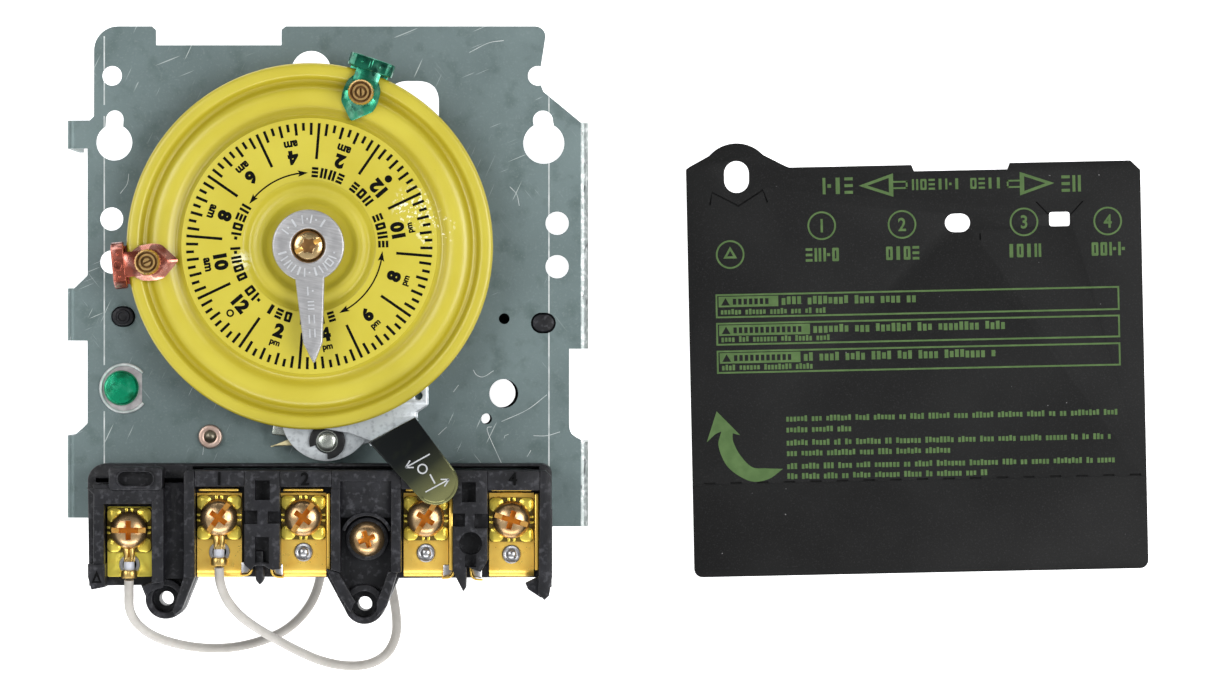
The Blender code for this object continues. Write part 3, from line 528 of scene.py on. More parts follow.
def worn_zinc(*names):
    """Rubbed zinc on the bent edges of the tabs, bright partly from wear and partly as a painted highlight.
    """
    m = Shades(*names, (0.34, 0.38, 0.37), 0.4, 0.6)
    m.clouds(1.2, 5.0, 0.48, 0.66, (0.66, 0.69, 0.68))
    m.clouds(0.6, 4.0, 0.58, 0.68, (0.12, 0.13, 0.13), stretch=(1.0, 0.25, 1.0))
    m.grain(0.5, 5.0, 0.05)
    return m.material


def bright_crease(*names):
    m = Shades(*names, (0.55, 0.6, 0.59), 0.35, 0.5)
    m.clouds(2.5, 4.0, 0.4, 0.6, (0.8, 0.83, 0.82))
    m.grain(0.4, 3.0, 0.02)
    return m.material


def bare_zinc(*names):
    """Plain, slightly pink steel inside the collar."""
    m = Shades(*names, (0.36, 0.33, 0.34), 0.45, 0.6)
    m.clouds(2.0, 4.0, 0.4, 0.65, (0.5, 0.48, 0.48))
    m.grain(0.3, 3.0, 0.01)
    return m.material


def black_moulding(*names):
    """Moulded phenolic: near black, slightly grey where it is rubbed, with a fine grain."""
    m = Shades(*names, (0.007, 0.007, 0.009), 0.42, Specular_IOR_Level=0.32)
    m.clouds(5.0, 5.0, 0.45, 0.7, (0.016, 0.016, 0.02))
    m.clouds(1.2, 6.0, 0.54, 0.7, (0.05, 0.05, 0.057), 0.9)
    m.rough(1.5, 5.0, 0.25, 0.6)
    m.grain(0.5, 4.0, 0.04)
    m.grain(2.5, 3.0, 0.12)
    return m.material


def dial_yellow(*names):
    """Glossy yellow enamel with painted shade in the dial's grooves, and specks and pale rub marks on its
    face.
    """
    m = Shades(*names, (0.55, 0.46, 0.035), 0.34, Coat_Weight=0.2, Coat_Roughness=0.25)
    m.clouds(14.0, 4.0, 0.35, 0.7, (0.6, 0.515, 0.05))
    # Painted shade: the yellow darkens below the face's height, down in the dial's grooves.
    m.tint(m.below(46.3, 45.2), (0.42, 0.34, 0.016))
    m.clouds(0.8, 3.0, 0.74, 0.8, (0.4, 0.33, 0.03), 0.7)
    m.rough(4.0, 4.0, 0.24, 0.4)
    m.grain(0.7, 3.0, 0.006)
    for place, radius, size, level in DIAL_SCUFFS:
        speckle = m.steps(m.noise(size, 4.0), level, level + 0.03)
        m.tint(m.product(speckle, m.near((*place, FACE_TOP), radius, 2.5)), (0.9, 0.88, 0.6))
    return m.material


def print_black(*names):
    m = Shades(*names, (0.002, 0.002, 0.002), 0.6, Specular_IOR_Level=0.08)
    m.clouds(0.4, 3.0, 0.66, 0.78, (0.05, 0.045, 0.012), 0.3)
    m.rough(0.8, 3.0, 0.5, 0.7)
    return m.material


def aluminium(*names):
    """Satin aluminium, brushed across, with a few darker patches."""
    m = Shades(*names, (0.42, 0.415, 0.42), 0.34, 0.75)
    brushed = {"stretch": (0.08, 1.0, 1.0), "turn": 12.0}
    m.clouds(0.35, 4.0, 0.4, 0.65, (0.53, 0.525, 0.53), **brushed)
    m.clouds(3.0, 4.0, 0.5, 0.75, (0.3, 0.295, 0.305), 0.6)
    m.rough(1.0, 4.0, 0.28, 0.46)
    m.grain(0.3, 3.0, 0.008, **brushed)
    return m.material


def white_zinc(*names):
    """Bright zinc, white with grey flecks."""
    m = Shades(*names, (0.74, 0.78, 0.8), 0.34, 0.55)
    m.clouds(1.2, 5.0, 0.5, 0.75, (0.45, 0.48, 0.5))
    m.clouds(5.0, 3.0, 0.55, 0.7, (0.85, 0.88, 0.9), 0.5)
    m.grain(0.5, 4.0, 0.015)
    return m.material


def blade_metal(*names):
    """Mirror-bright zinc with a painted reflection: it darkens towards the bend and turns olive towards the
    tip.
    """
    # Painted reflection: the near-black colour and the olive tints along the blade stand in for what the bent
    # blade mirrors.
    m = Shades(*names, (0.025, 0.028, 0.028), 0.16, 0.9)
    along = m.node("SeparateXYZ", "Y", {"Vector": m.turned(BLADE_TURN)})
    turn = Matrix.Rotation(radians(BLADE_TURN), 3, "Z")
    tip = (turn @ (TO_WORLD @ Vector((*BLADE_TIP, 0.0)))).y - BLADE_R * MM
    m.tint(m.steps(along, tip + 14.0 * MM, tip + 7.0 * MM), (0.1, 0.11, 0.07))
    m.tint(m.steps(along, tip + 9.0 * MM, tip + 2.0 * MM), (0.4, 0.4, 0.17))
    m.clouds(3.5, 3.0, 0.55, 0.8, (0.06, 0.07, 0.04), 0.35)
    m.grain(1.5, 3.0, 0.01)
    return m.material


def insulator_fibre(*names):
    """Black sheet with a fine matt grain, a few pale specks and grey rub marks."""
    m = Shades(*names, (0.006, 0.006, 0.006), 0.55, Specular_IOR_Level=0.16)
    m.clouds(30.0, 3.0, 0.4, 0.7, (0.011, 0.011, 0.011))
    m.clouds(0.35, 2.0, 0.55, 0.8, (0.03, 0.03, 0.03), 0.6)
    m.clouds(0.9, 1.0, 0.825, 0.85, (0.35, 0.35, 0.35), 0.8)
    m.grain(0.3, 3.0, 0.012)
    return m.material


def brass(name, slot, colour, stain, roughness, metallic=0.95):
    """Golden metal with darker stains and a fine grain in one direction."""
    m = Shades(name, slot, colour, roughness, metallic)
    m.clouds(3.5, 5.0, 0.48, 0.75, stain)
    m.clouds(0.5, 4.0, 0.6, 0.75, stain, 0.6)
    m.rough(1.5, 4.0, roughness * 0.75, roughness * 1.6)
    m.grain(0.3, 3.0, 0.012, stretch=(1.0, 0.1, 1.0))
    return m.material


def dyed(name, slot, colour, shine, dark):
    """Dyed, bright-plated steel: lighter and darker clouds of one colour."""
    m = Shades(name, slot, colour, 0.22, 0.8, Coat_Weight=0.3, Coat_Roughness=0.1)
    m.clouds(4.0, 2.0, 0.52, 0.75, shine)
    m.clouds(3.0, 3.0, 0.5, 0.7, dark, turn=50.0)
    m.rough(1.5, 3.0, 0.14, 0.3)
    m.grain(1.2, 3.0, 0.03)
    return m.material


def plain(name, slot, colour, other, roughness, metallic=0.0, specular=0.5, grain=0.6, depth=0.01):
    """A simple finish with two close colours and a fine grain."""
    m = Shades(name, slot, colour, roughness, metallic, Specular_IOR_Level=specular)
    m.clouds(grain * 4, 4.0, 0.4, 0.7, other)
    m.rough(grain * 2, 4.0, roughness * 0.8, roughness * 1.25)
    m.grain(grain, 3.0, depth)
    return m.material


# A finish's maker and its material slot, then the maker's own values.
FINISHES = {
    "zinc_plate": (zinc_plate, "zinc_plate"),
    "worn_zinc": (worn_zinc, "zinc_plate"),
    "bright_crease": (bright_crease, "zinc_plate"),
    "bare_zinc": (bare_zinc, "zinc_plate"),
    "black_moulding": (black_moulding, "black_moulding"),
    "dial_yellow": (dial_yellow, "dial_yellow"),
    "print_black": (print_black, "dial_yellow"),
    "pointer_aluminium": (aluminium, "pointer_aluminium"),
    "white_zinc": (white_zinc, "white_zinc"),
    "blade_metal": (blade_metal, "white_zinc"),
    "insulator_fibre": (insulator_fibre, "insulator_fibre"),
    "pointer_gold": (brass, "screw_brass", (0.72, 0.52, 0.26), (0.5, 0.31, 0.12), 0.2),
    "knurled_brass": (brass, "screw_brass", (0.7, 0.45, 0.17), (0.42, 0.22, 0.07), 0.25),
    "recess_brown": (brass, "screw_brass", (0.2, 0.1, 0.03), (0.07, 0.04, 0.015), 0.35, 0.7),
    "terminal_brass": (brass, "terminal_brass", (0.98, 0.64, 0.12), (0.92, 0.54, 0.08), 0.26, 0.55),
    "pale_brass": (brass, "terminal_brass", (1.0, 0.84, 0.12), (0.95, 0.72, 0.08), 0.28, 0.45),
    "clamp_brass": (brass, "clamp_brass", (1.0, 0.8, 0.13), (0.85, 0.6, 0.06), 0.2, 0.65),
    "dull_brass": (brass, "clamp_brass", (0.14, 0.09, 0.01), (0.05, 0.035, 0.005), 0.35, 0.5),
    "bronze": (brass, "terminal_screw", (0.62, 0.42, 0.22), (0.42, 0.24, 0.1), 0.24),
    "recess_orange": (brass, "terminal_screw", (0.66, 0.22, 0.02), (0.45, 0.12, 0.01), 0.3, 0.8),
    "recess_gold": (brass, "terminal_screw", (0.88, 0.5, 0.13), (0.75, 0.34, 0.05), 0.25, 0.8),
    "gear_brass": (brass, "gear_brass", (0.7, 0.48, 0.16), (0.45, 0.28, 0.07), 0.28),
    # Each shine row is a lighter copy of its tripper's colour, for the painted highlight on the leaf's sloped
    # band.
    "on_green": (dyed, "tripper_green", (0.01, 0.2, 0.11), (0.2, 0.6, 0.42), (0.0, 0.06, 0.035)),
    "on_shine": (dyed, "tripper_green", (0.03, 0.32, 0.17), (0.35, 0.8, 0.55), (0.01, 0.13, 0.07)),
    "off_red": (dyed, "tripper_red", (0.42, 0.1, 0.06), (0.8, 0.42, 0.36), (0.16, 0.03, 0.015)),
    "off_shine": (dyed, "tripper_red", (0.7, 0.3, 0.22), (0.95, 0.65, 0.55), (0.4, 0.1, 0.06)),
    "ground_green": (dyed, "ground_green", (0.0, 0.42, 0.19), (0.1, 0.66, 0.4), (0.0, 0.17, 0.06)),
    "steel": (plain, "steel", (0.42, 0.42, 0.43), (0.55, 0.55, 0.57), 0.3, 0.95),
    "pin_steel": (plain, "steel", (0.4, 0.43, 0.38), (0.62, 0.64, 0.58), 0.25, 0.9),
    "copper": (plain, "coil_copper", (0.6, 0.2, 0.08), (0.7, 0.3, 0.14), 0.35, 0.9),
    "bright_marks": (plain, "pointer_aluminium", (0.7, 0.71, 0.73), (0.8, 0.81, 0.83), 0.3, 0.6),
    "stud_ring": (plain, "stud_bronze", (0.6, 0.42, 0.34), (0.7, 0.54, 0.46), 0.35, 0.7),
    "stud_dark": (plain, "stud_bronze", (0.1, 0.085, 0.06), (0.3, 0.27, 0.2), 0.3, 0.6),
    "clip_black": (plain, "clip_black", (0.012, 0.012, 0.013), (0.03, 0.03, 0.03), 0.35, 0.4),
    "cream_plastic": (plain, "cream_plastic", (0.72, 0.62, 0.32), (0.78, 0.7, 0.45), 0.4),
    "lead_grey": (plain, "lead_grey", (0.42, 0.395, 0.36), (0.48, 0.455, 0.42), 0.5, 0.0, 0.5, 0.9, 0.02),
    "collar_grey": (plain, "lead_grey", (0.5, 0.52, 0.58), (0.62, 0.64, 0.7), 0.4),
    "number_black": (plain, "black_moulding", (0.001, 0.001, 0.001), (0.002, 0.002, 0.002), 0.2, 0.0, 0.25),
    "slit_dark": (plain, "insulator_fibre", (0.002, 0.002, 0.002), (0.003, 0.003, 0.003), 0.9),
    "print_green": (plain, "insulator_fibre", (0.075, 0.135, 0.045), (0.1, 0.17, 0.06), 0.6, 0.0, 0.16),
}


@cache
def finish(name):
    """A named finish's material, made when it is first asked for."""
    maker, *values = FINISHES[name]
    return maker(name, *values)


# ---------------------------------------------------------------- camera, floor and lights

VIEW_MIDDLE = (68.6, -22.0)
VIEW_WIDTH = 282.3
CAMERA_HEIGHT = 1500.0
PLATE_FRONT = node_box("mounting_plate")[1].z - 0.8
SENSOR = 36.0
LIGHT_TARGET = Vector((-0.04, -0.02, 0.03))
LIGHTS = (
    # name, place in metres, width and height in metres, watts
    ("key", (0.6, 0.05, 0.95), (0.6, 0.6), 7.2),
    ("fill", (-0.65, 0.25, 0.9), (0.5, 0.6), 4.2),
    ("front", (-0.1, -0.85, 0.55), (1.1, 0.3), 4.5),
    ("back_strip", (0.0, 0.95, 0.4), (1.2, 0.15), 1.2),
)
SURROUNDINGS = ((0.0, 0.95), (0.42, 0.62), (0.56, 0.34), (0.74, 0.1), (1.0, 0.3))
FLOOR_BELOW = 0.0002


def camera():
    data = bpy.data.cameras.new("camera")
    data.sensor_width = SENSOR
    data.lens = SENSOR * CAMERA_HEIGHT / VIEW_WIDTH
    data.clip_start, data.clip_end = 0.1, 10.0
    obj = linked("camera", data)
    obj.location = TO_WORLD @ Vector((*VIEW_MIDDLE, PLATE_FRONT + CAMERA_HEIGHT))
    bpy.context.scene.camera = obj


def lights():
    for name, place, (width, height), power in LIGHTS:
        data = bpy.data.lights.new(name, "AREA")
        data.shape = "RECTANGLE"
        data.size, data.size_y, data.energy = width, height, power
        obj = linked(name, data)
        obj.location = place
        obj.rotation_euler = (LIGHT_TARGET - Vector(place)).to_track_quat("-Z", "Y").to_euler()
    bpy.context.scene.world = studio()
    bpy.context.scene.view_settings.view_transform = "Standard"


def studio():
    """Pale surroundings that are darker towards the back, so that bright metal has something to mirror."""
    world = bpy.data.worlds.new("studio")
    world.use_nodes = True
    tree = world.node_tree
    along = new_node(tree, "SeparateXYZ", "Y", {"Vector": new_node(tree, "TexCoord", "Generated")})
    across = new_node(tree, "MapRange", "Result", {"Value": along, "From Min": -1.0, "From Max": 1.0})
    colour = new_node(tree, "ValToRGB", "Color", {"Fac": across})
    stops = colour.node.color_ramp.elements
    while len(stops) < len(SURROUNDINGS):
        stops.new(0.5)
    for stop, (place, level) in zip(stops, SURROUNDINGS):
        stop.position = place
        stop.color = (level * 0.97, level, level * 1.03, 1.0)
    feed(tree, tree.nodes["Background"], "Color", colour)
    feed(tree, tree.nodes["Background"], "Strength", 0.75)
    return world


def floor():
    white = (1.0, 1.0, 1.0, 1.0)
    m = Shades("floor_white", "floor", (0.9, 0.9, 0.9), 0.8, Emission_Color=white, Emission_Strength=0.95)
    bm = bmesh.new()
    bmesh.ops.create_grid(bm, x_segments=1, y_segments=1, size=3.0)
    mesh = bpy.data.meshes.new("floor")
    bm.to_mesh(mesh)
    bm.free()
    mesh.materials.append(m.material)
    obj = linked("floor", mesh)
    obj.location.z = -FLOOR_BELOW


# ---------------------------------------------------------------- plate

FLANGE_LENGTH = 33.0
PLATE_BACK = node_box("mounting_plate")[0].z + FLANGE_LENGTH
PLATE_THICKNESS = PLATE_FRONT - PLATE_BACK
PLATE_LEFT, PLATE_RIGHT = node_box("mounting_plate")[0].x, node_box("mounting_plate")[1].x
PLATE_TOP, PLATE_BOTTOM = 51.3, -63.0
WAIST_LEFT, WAIST_RIGHT = -52.2, 59.8
BEND_R = 1.7
FLANGES = (
    ("left", -1, ((22.9, 29.4), (-21.8, -9.6), (PLATE_BOTTOM, -43.8)), "zinc_plate"),
    # The right tabs' bends take the rubbed zinc with its painted highlight.
    ("right", 1, ((-23.7, 28.9), (-65.0, -45.3)), "worn_zinc"),
)
CREASES = ((-48.3, -52.0, -38.2), (-48.3, -27.5, 30.4), (-48.3, 33.0, 49.0), (55.1, -52.0, 35.0))
SCRATCHES = (
    ((44.1, -40.6), (50.0, -37.9), (54.6, -34.4)), ((41.8, -41.8), (40.8, -42.8), (44.1, -50.4)),
    ((51.5, -43.9), (54.6, -43.9), (57.7, -43.0)), ((44.7, -44.5), (44.9, -43.9), (45.7, -43.6)),
    ((50.0, -48.8), (50.5, -48.0), (50.9, -47.3)), ((29.4, -43.7), (30.3, -42.8), (31.3, -41.9)),
    ((32.9, -33.7), (33.5, -32.9), (34.1, -32.1)), ((-25.4, -48.4), (-25.2, -46.0), (-25.5, -43.2)),
    ((37.5, -28.6), (38.3, -29.8), (39.9, -30.2), (42.2, -28.8)), ((46.0, 14.0), (47.6, 12.2), (48.2, 9.6)),
    ((36.6, 45.2), (41.0, 47.4), (44.6, 48.0)), ((-44.6, 12.4), (-43.0, 14.6), (-42.6, 17.0)),
)
POST_HOLE_R = 3.3
COLLAR = (-43.6, -32.9)


def plate_outline():
    left, right = PLATE_LEFT + BEND_R, PLATE_RIGHT - BEND_R
    return [
        (left, PLATE_BOTTOM), (54.0, PLATE_BOTTOM), (54.0, -65.0), (right, -65.0), (right, -45.3),
        (62.6, -44.9), (61.3, -44.2), (60.3, -43.4), (59.9, -42.4), (WAIST_RIGHT, -41.0),
        (WAIST_RIGHT, -23.7), (right, -23.7), (right, 28.9), (62.3, 29.1), (53.8, 36.1),
        *arc((52.5, 39.8), 2.3, -72, -288, 16),
        *arc((51.9, PLATE_TOP - 2.4), 2.4, 0, 90, 8),
        (-6.1, PLATE_TOP), (-7.1, PLATE_TOP - 0.8), (-7.1, 46.9), (-36.3, 46.9), (-36.3, PLATE_TOP - 0.8),
        (-37.2, PLATE_TOP),
        *arc((-45.1, PLATE_TOP - 5.6), 5.6, 90, 180, 12),
        (-50.7, 30.4), (-51.7, 29.4), (left, 29.4), (left, 22.9),
        (WAIST_LEFT, 22.9), (WAIST_LEFT, -6.6), (-53.4, -7.8), (left, -9.6), (left, -21.8),
        (WAIST_LEFT, -21.8), (WAIST_LEFT, -41.0), (-53.4, -42.2), (left, -43.8),
    ]


def plate_holes():
    return [
        circle((-46.5, 39.8), 2.3), keyhole((-45.9, 29.7), 2.07, (-46.0, 24.3), 4.2),
        circle((-46.6, 6.5), 2.7), circle((-46.6, -3.5), 2.7), obround((-43.9, -16.2), 5.6, 4.8),
        circle((-44.3, -32.8), 2.4), circle((-23.6, -44.1), 1.7), circle((0.0, 0.0), POST_HOLE_R),
        circle((-0.2, 41.0), 4.6), rounded(rectangle(17.4, 19.0, 29.5, 38.6), 5.0, 12),
        keyhole((53.7, 29.4), 2.33, (53.9, 24.1), 4.77), circle((57.0, 5.5), 2.7), circle((57.0, -4.6), 2.7),
        obround((53.8, -17.7), 5.8, 4.8), circle((44.7, -16.7), 1.25), circle((44.6, -34.1), 3.35),
        circle((40.6, -40.0), 1.25),
    ]


def bent_flange(side, low, high):
    """A tab's bend and flange. Side is -1 on the left and 1 on the right."""
    outer = {-1: PLATE_LEFT, 1: PLATE_RIGHT}[side]
    bend = (outer - side * BEND_R, PLATE_FRONT - BEND_R)
    end = 90 - 90 * side
    outline = arc(bend, BEND_R, 90, end, 8) + [(outer, 0.0), (outer - side * PLATE_THICKNESS, 0.0)]
    outline += arc(bend, BEND_R - PLATE_THICKNESS, end, 90, 6)
    mesh = prism([outline], low, high)
    mesh.transform(SWAP_Y_AND_Z)
    mesh.flip_normals()
    return mesh


def mounting_plate():
    front = PLATE_FRONT
    sheet = prism([plate_outline()] + plate_holes(), PLATE_BACK, front)
    add("plate_sheet", sheet, "zinc_plate", stands_for="mounting_plate")
    for name, side, flanges, metal in FLANGES:
        add(f"plate_{name}_flanges", [bent_flange(side, *flange) for flange in flanges], metal)
    strips = [block((x - 0.16, low, front - 0.1), (x + 0.16, high, front + 0.04)) for x, low, high in CREASES]
    holes = [prism([hole], PLATE_BACK, front + 1.0) for hole in plate_holes()]
    add("plate_creases", carve(merged(strips), *holes), "bright_crease")
    lines = [prism([ribbon(smooth(points, 6), 0.13)], front - 0.05, front + 0.02) for points in SCRATCHES]
    add("plate_scratches", lines, "bright_crease")
    collar = [(x, y, front + 0.25) for x, y in arc(COLLAR, 5.55, 40, 322, 60)]
    add("ground_collar", tube(collar, 0.34, 3), "bright_crease")
    add("ground_pad", prism([arc(COLLAR, 5.3, 40, 320, 48)], front - 0.2, front + 0.05), "bare_zinc")


# ---------------------------------------------------------------- dial

DIAL_R, DIAL_EDGE, DIAL_SHEET = 42.3, 45.0, 1.0
DIAL_STEPS = 160
FACE_TOP = 47.8
PRINT = (FACE_TOP - 0.05, FACE_TOP + 0.04)
FIRST_HOUR, FIRST_HOUR_PLACE = 16, 10.3
TICKS = 96
TICK_OUTER, TICK_HALF = 28.4, 0.32
LONG_TICK_INNER = 20.1
WORDS = ((146, 176, 4), (180, 208, 4), (213, 229, 2), (235, 257, 3), (262, 291, 4), (-2, 26, 4), (34, 56, 3),
         (62, 89, 4))
WORD_R = 17.05
ARROWS = ((145, 91), (-66, -4))
ARROW_R = 16.9
DIAL_SCUFFS = (((24.0, 9.0), 3.0, 0.9, 0.56), ((29.0, 4.0), 3.0, 1.1, 0.6), ((-15.6, -3.4), 0.3, 0.9, 0.45))
DIAL_PROFILE = (
    (5.3, 45.8), (9.2, 45.8), (10.2, 46.1), (11.0, 46.65), (12.0, 46.8), (13.2, 46.6), (14.0, 46.75),
    (14.9, 47.4), (15.7, 47.75), (16.4, FACE_TOP), (28.4, FACE_TOP), (29.2, 47.35), (30.0, 46.0),
    (30.8, 45.45), (31.6, 45.65), (32.6, 46.1), (34.2, 46.28), (35.8, 46.15), (36.8, 45.65), (37.5, 44.9),
    (38.1, 44.65), (38.6, 44.85), (39.2, 45.7), (39.8, 46.1), (41.2, 46.1), (41.9, 45.9), (DIAL_R, 45.4),
)


def dial():
    top = smooth(DIAL_PROFILE, 3)
    under = [(radius, height - DIAL_SHEET) for radius, height in reversed(top[:-2])]
    sheet = lathe(top + [(DIAL_R, DIAL_EDGE)] + under, steps=DIAL_STEPS)
    add("dial", sheet, "dial_yellow", "dial", angle=60.0)
    add("dial_print", [*dial_ticks(), *dial_numerals(), *dial_words(), *dial_arrows()], "print_black", "dial")


def dial_ticks():
    for i in range(TICKS):
        kind = (i - 4) % 8
        inner = LONG_TICK_INNER if kind == 0 else TICK_OUTER - (2.8 if kind % 2 else 1.8)
        tick = block((inner, -TICK_HALF, PRINT[0]), (TICK_OUTER, TICK_HALF, PRINT[1]))
        yield moved(tick, turn=-90.0 + FIRST_HOUR_PLACE + i * 360.0 / TICKS)


def dial_numerals():
    for hour in range(2, 25, 2):
        turn = FIRST_HOUR_PLACE + 15.0 * (hour - FIRST_HOUR)
        yield lettering(str((hour - 1) % 12 + 1), 3.3, polar(20.7, turn - 90), turn, *PRINT, 1.04, 0.065)
        place = polar(23.9, turn - 90)
        if hour == 24:
            yield prism([circle(place, 0.85)], *PRINT)
        elif hour == 12:
            yield prism([circle(place, 0.9), circle(place, 0.5)], *PRINT)
        else:
            yield lettering("am" if hour < 12 else "pm", 1.55, place, turn, *PRINT, 0.97, 0.05)


def dial_words():
    """Rows of abstract signs where the dial carries its printed words."""
    kinds = random.Random(4)
    for start, end, count in WORDS:
        step = (end - start) / count
        angles = [start + (i + 0.5) * step for i in range(count)]
        spots = [(polar(WORD_R, angle), angle + 90) for angle in angles]
        yield from signs(kinds, spots, (radians(step) * WORD_R * 0.74, 2.35), 0.6, *PRINT)


def dial_arrows():
    for start, end in ARROWS:
        side = 1 if end > start else -1
        yield prism([ribbon(arc((0, 0), ARROW_R, start + side * 6, end - side * 6, 30), 0.34)], *PRINT)
        for angle, way in ((start, -side), (end, side)):
            base = angle - way * 8
            head = [polar(ARROW_R, angle), polar(ARROW_R + 0.75, base), polar(ARROW_R, base + way * 1.5),
                    polar(ARROW_R - 0.75, base)]
            yield prism([head], *PRINT)


# ---------------------------------------------------------------- pointer and spring

POINTER_TOP = 53.6
POINTER_TILT = 2.8
HUB_R, NECK_HALF, HAND_HALF, SHOULDER, TIP = 8.3, 3.35, 2.25, 22.3, 26.8
HUB_SIGNS = (143, 122, 97, 78, 57, 196, 214, 232, 250, 268, 286, 304, 322, 340)
RECESS_R = 3.9
CUP_PROFILE = ((RECESS_R + 0.5, 53.35), (RECESS_R - 0.12, 53.35), (3.6, 51.9), (3.6, 51.0),
               (RECESS_R + 0.2, 51.0))
POINTER_SCREW_PROFILE = ((3.5, 52.1), (3.5, 52.3), (3.38, 52.65), (2.9, 52.95), (1.9, 53.05), (0.0, 53.05),
                         (0.0, 52.1))
STAR_TURN = 27.0
HUB_SIGNS_R = 6.15
HAND_SIGNS = (-10.4, -13.7, -16.9, -20.1)
RAISED_SIGN = ((1.5, 2.0), 0.34, POINTER_TOP - 0.2, POINTER_TOP + 0.16)


def pointer():
    side = degrees(asin(NECK_HALF / HUB_R))
    outline = arc((0, 0), HUB_R, side - 90, 270 - side, 72) + [(-HAND_HALF, -SHOULDER)]
    outline += arc((0.0, 0.25 - TIP), 0.35, 210, 330, 4) + [(HAND_HALF, -SHOULDER)]
    outline = turned_points(outline, POINTER_TILT)
    plate = prism([outline, circle((0, 0), RECESS_R, 64)], POINTER_TOP - 1.4, POINTER_TOP, 0.38, 3)
    add("pointer", plate, "pointer_aluminium")
    add("pointer_marks", pointer_marks(), "bright_marks")
    # The cup is painted shade: dark brown for the shadow inside the pointer's recess.
    add("pointer_cup", lathe(CUP_PROFILE), "recess_brown")
    head = lathe(POINTER_SCREW_PROFILE)
    slot = moved(block((-4.0, -0.5, 52.7), (4.0, 0.5, 55.0)), turn=STAR_TURN)
    star = [polar(2.0 if i % 2 else 1.4, STAR_TURN + i * 30.0) for i in range(12)]
    head = softened(carve(head, slot, prism([star], 52.3, 55.0)), 0.04)
    add("pointer_screw", paint(head, in_pointer_recess), "pointer_gold recess_brown recess_gold")


def in_pointer_recess(point):
    """0 on the screw's outside, 1 in its star socket, in painted shade, and 2 in its slot, in painted light.
    """
    if hypot(point.x, point.y) > 2.9 or not 52.2 < point.z < 52.8:
        return 0
    return 2 if point.z > 52.65 else 1


def pointer_marks():
    """Raised abstract signs round the hub and down the hand."""
    kinds = random.Random(11)
    hub = [(polar(HUB_SIGNS_R, angle), angle - 90 if angle < 180 else angle + 90) for angle in HUB_SIGNS]
    yield from signs(kinds, hub, *RAISED_SIGN)
    places = turned_points([(0.0, along) for along in HAND_SIGNS], POINTER_TILT)
    yield from signs(kinds, [(place, POINTER_TILT) for place in places], *RAISED_SIGN, first=1)


def dial_spring():
    """Three turns of wire, with a mesh of its own."""
    turns, steps, low, high, radius = 3, 120, 47.05, 51.3, 4.1
    shares = [i / steps for i in range(steps + 1)]
    points = [(*polar(radius, 360.0 * turns * share), low + (high - low) * share) for share in shares]
    obj = add("dial_spring", tube(points, 0.35, 2), "steel")
    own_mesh(obj)


# ---------------------------------------------------------------- trippers

TRIPPER_R = 37.3
TRIPPERS = (("on", 71.2, "on_green on_shine"), ("off", 185.8, "off_red off_shine"))
LEAF = [(-7.0, 0.2), (-3.3, -3.9), (-1.2, -4.3), (1.6, -4.1), (3.6, -3.0), (3.6, 3.0), (1.6, 4.1),
        (-1.2, 4.3), (-3.3, 3.9)]
NECK = [(-2.9, 46.4), (2.9, 46.4), (2.9, 47.9), (2.2, 48.2), (-2.2, 48.2), (-2.9, 47.9)]
HEAD_ARCH = [(-5.3, 43.9), (-5.4, 45.4), (-4.9, 46.9), (-3.7, 48.3), (3.7, 48.3), (4.9, 46.9), (5.4, 45.4),
             (5.3, 43.9), (4.5, 43.9), (4.5, 45.3), (4.1, 46.2), (3.2, 47.2), (-3.2, 47.2), (-4.1, 46.2),
             (-4.5, 45.3), (-4.5, 43.9)]
SIGN = (6.85, 0.0)
FLUTES, FLUTE_R, KNURL_R = 26, 2.84, 3.0


def tripper(name, angle, finishes):
    """C-shaped clamp on the dial's rim with a leaf-shaped arm, drawn about its thumbscrew with X outwards."""
    leaf = rounded(LEAF, 0.7, 5)
    arm = chamfered(leaf, scaled(leaf, 0.7, (0.8, 0.0)), 46.3, 47.0, 47.9)
    # Painted highlight: the sloped band round the leaf takes the lighter shine finish.
    paint(arm, lambda point: 47.2 < point.z < 47.8)
    if name == "on":
        sign, apart = block((5.75, -0.4, 48.1), (8.0, 0.4, 48.62), 0.15), 2.1
    else:
        sign, apart = prism([circle(SIGN, 1.25, 32), circle(SIGN, 0.65, 32)], 48.1, 48.6, 0.12, 2), 2.6
    dots = [moved(ball((0, 0, 0), (0.42, 0.42, 0.3)), (6.9, y, 48.3)) for y in (-apart, apart)]
    parts = [
        arm, side_prism(NECK, 2.0, 6.0, 0.15), side_prism(HEAD_ARCH, 5.35, 8.4, 0.32, 2),
        block((7.4, -4.6, 43.45), (8.35, 4.6, 47.5), 0.2), block((2.0, -4.5, 43.4), (8.2, 4.5, 44.5), 0.25),
        sign, *dots,
    ]
    place = (*polar(TRIPPER_R, angle), 0.0)
    clamp_name, screw_name = name + "_tripper", name + "_thumbscrew"
    add(clamp_name, moved(merged(parts), place, angle), finishes, clamp_name)
    add(screw_name, moved(thumbscrew(), place, angle + 20), "knurled_brass recess_brown", screw_name)


def thumbscrew():
    """Knurled head with a dished, slotted top."""
    knurl = [polar(KNURL_R if i % 2 else FLUTE_R, i * 180.0 / FLUTES) for i in range(2 * FLUTES)]
    grip = chamfered(knurl, scaled(knurl, 0.9), 48.2, 52.6, 53.0)
    dish = lathe([(0.0, 52.5), (0.9, 52.5), (1.0, 51.8), (1.35, 51.8), (1.45, 52.5), (1.9, 52.5), (2.0, 51.9),
                  (2.3, 51.9), (2.5, 53.3), (0.0, 53.3)], steps=48)
    head = carve(grip, dish, block((-0.95, -0.22, 51.7), (0.95, 0.22, 53.3)))
    # Painted shade: the dish inside the knurl takes the dark brown finish.
    paint(head, lambda point: point.z < 52.45 and hypot(point.x, point.y) < 2.4)
    shank = lathe([(0.0, 46.3), (1.1, 46.3), (1.3, 46.5), (1.3, 48.3), (0.0, 48.3)], steps=32)
    return merged((head, shank))


# ---------------------------------------------------------------- manual lever and cam

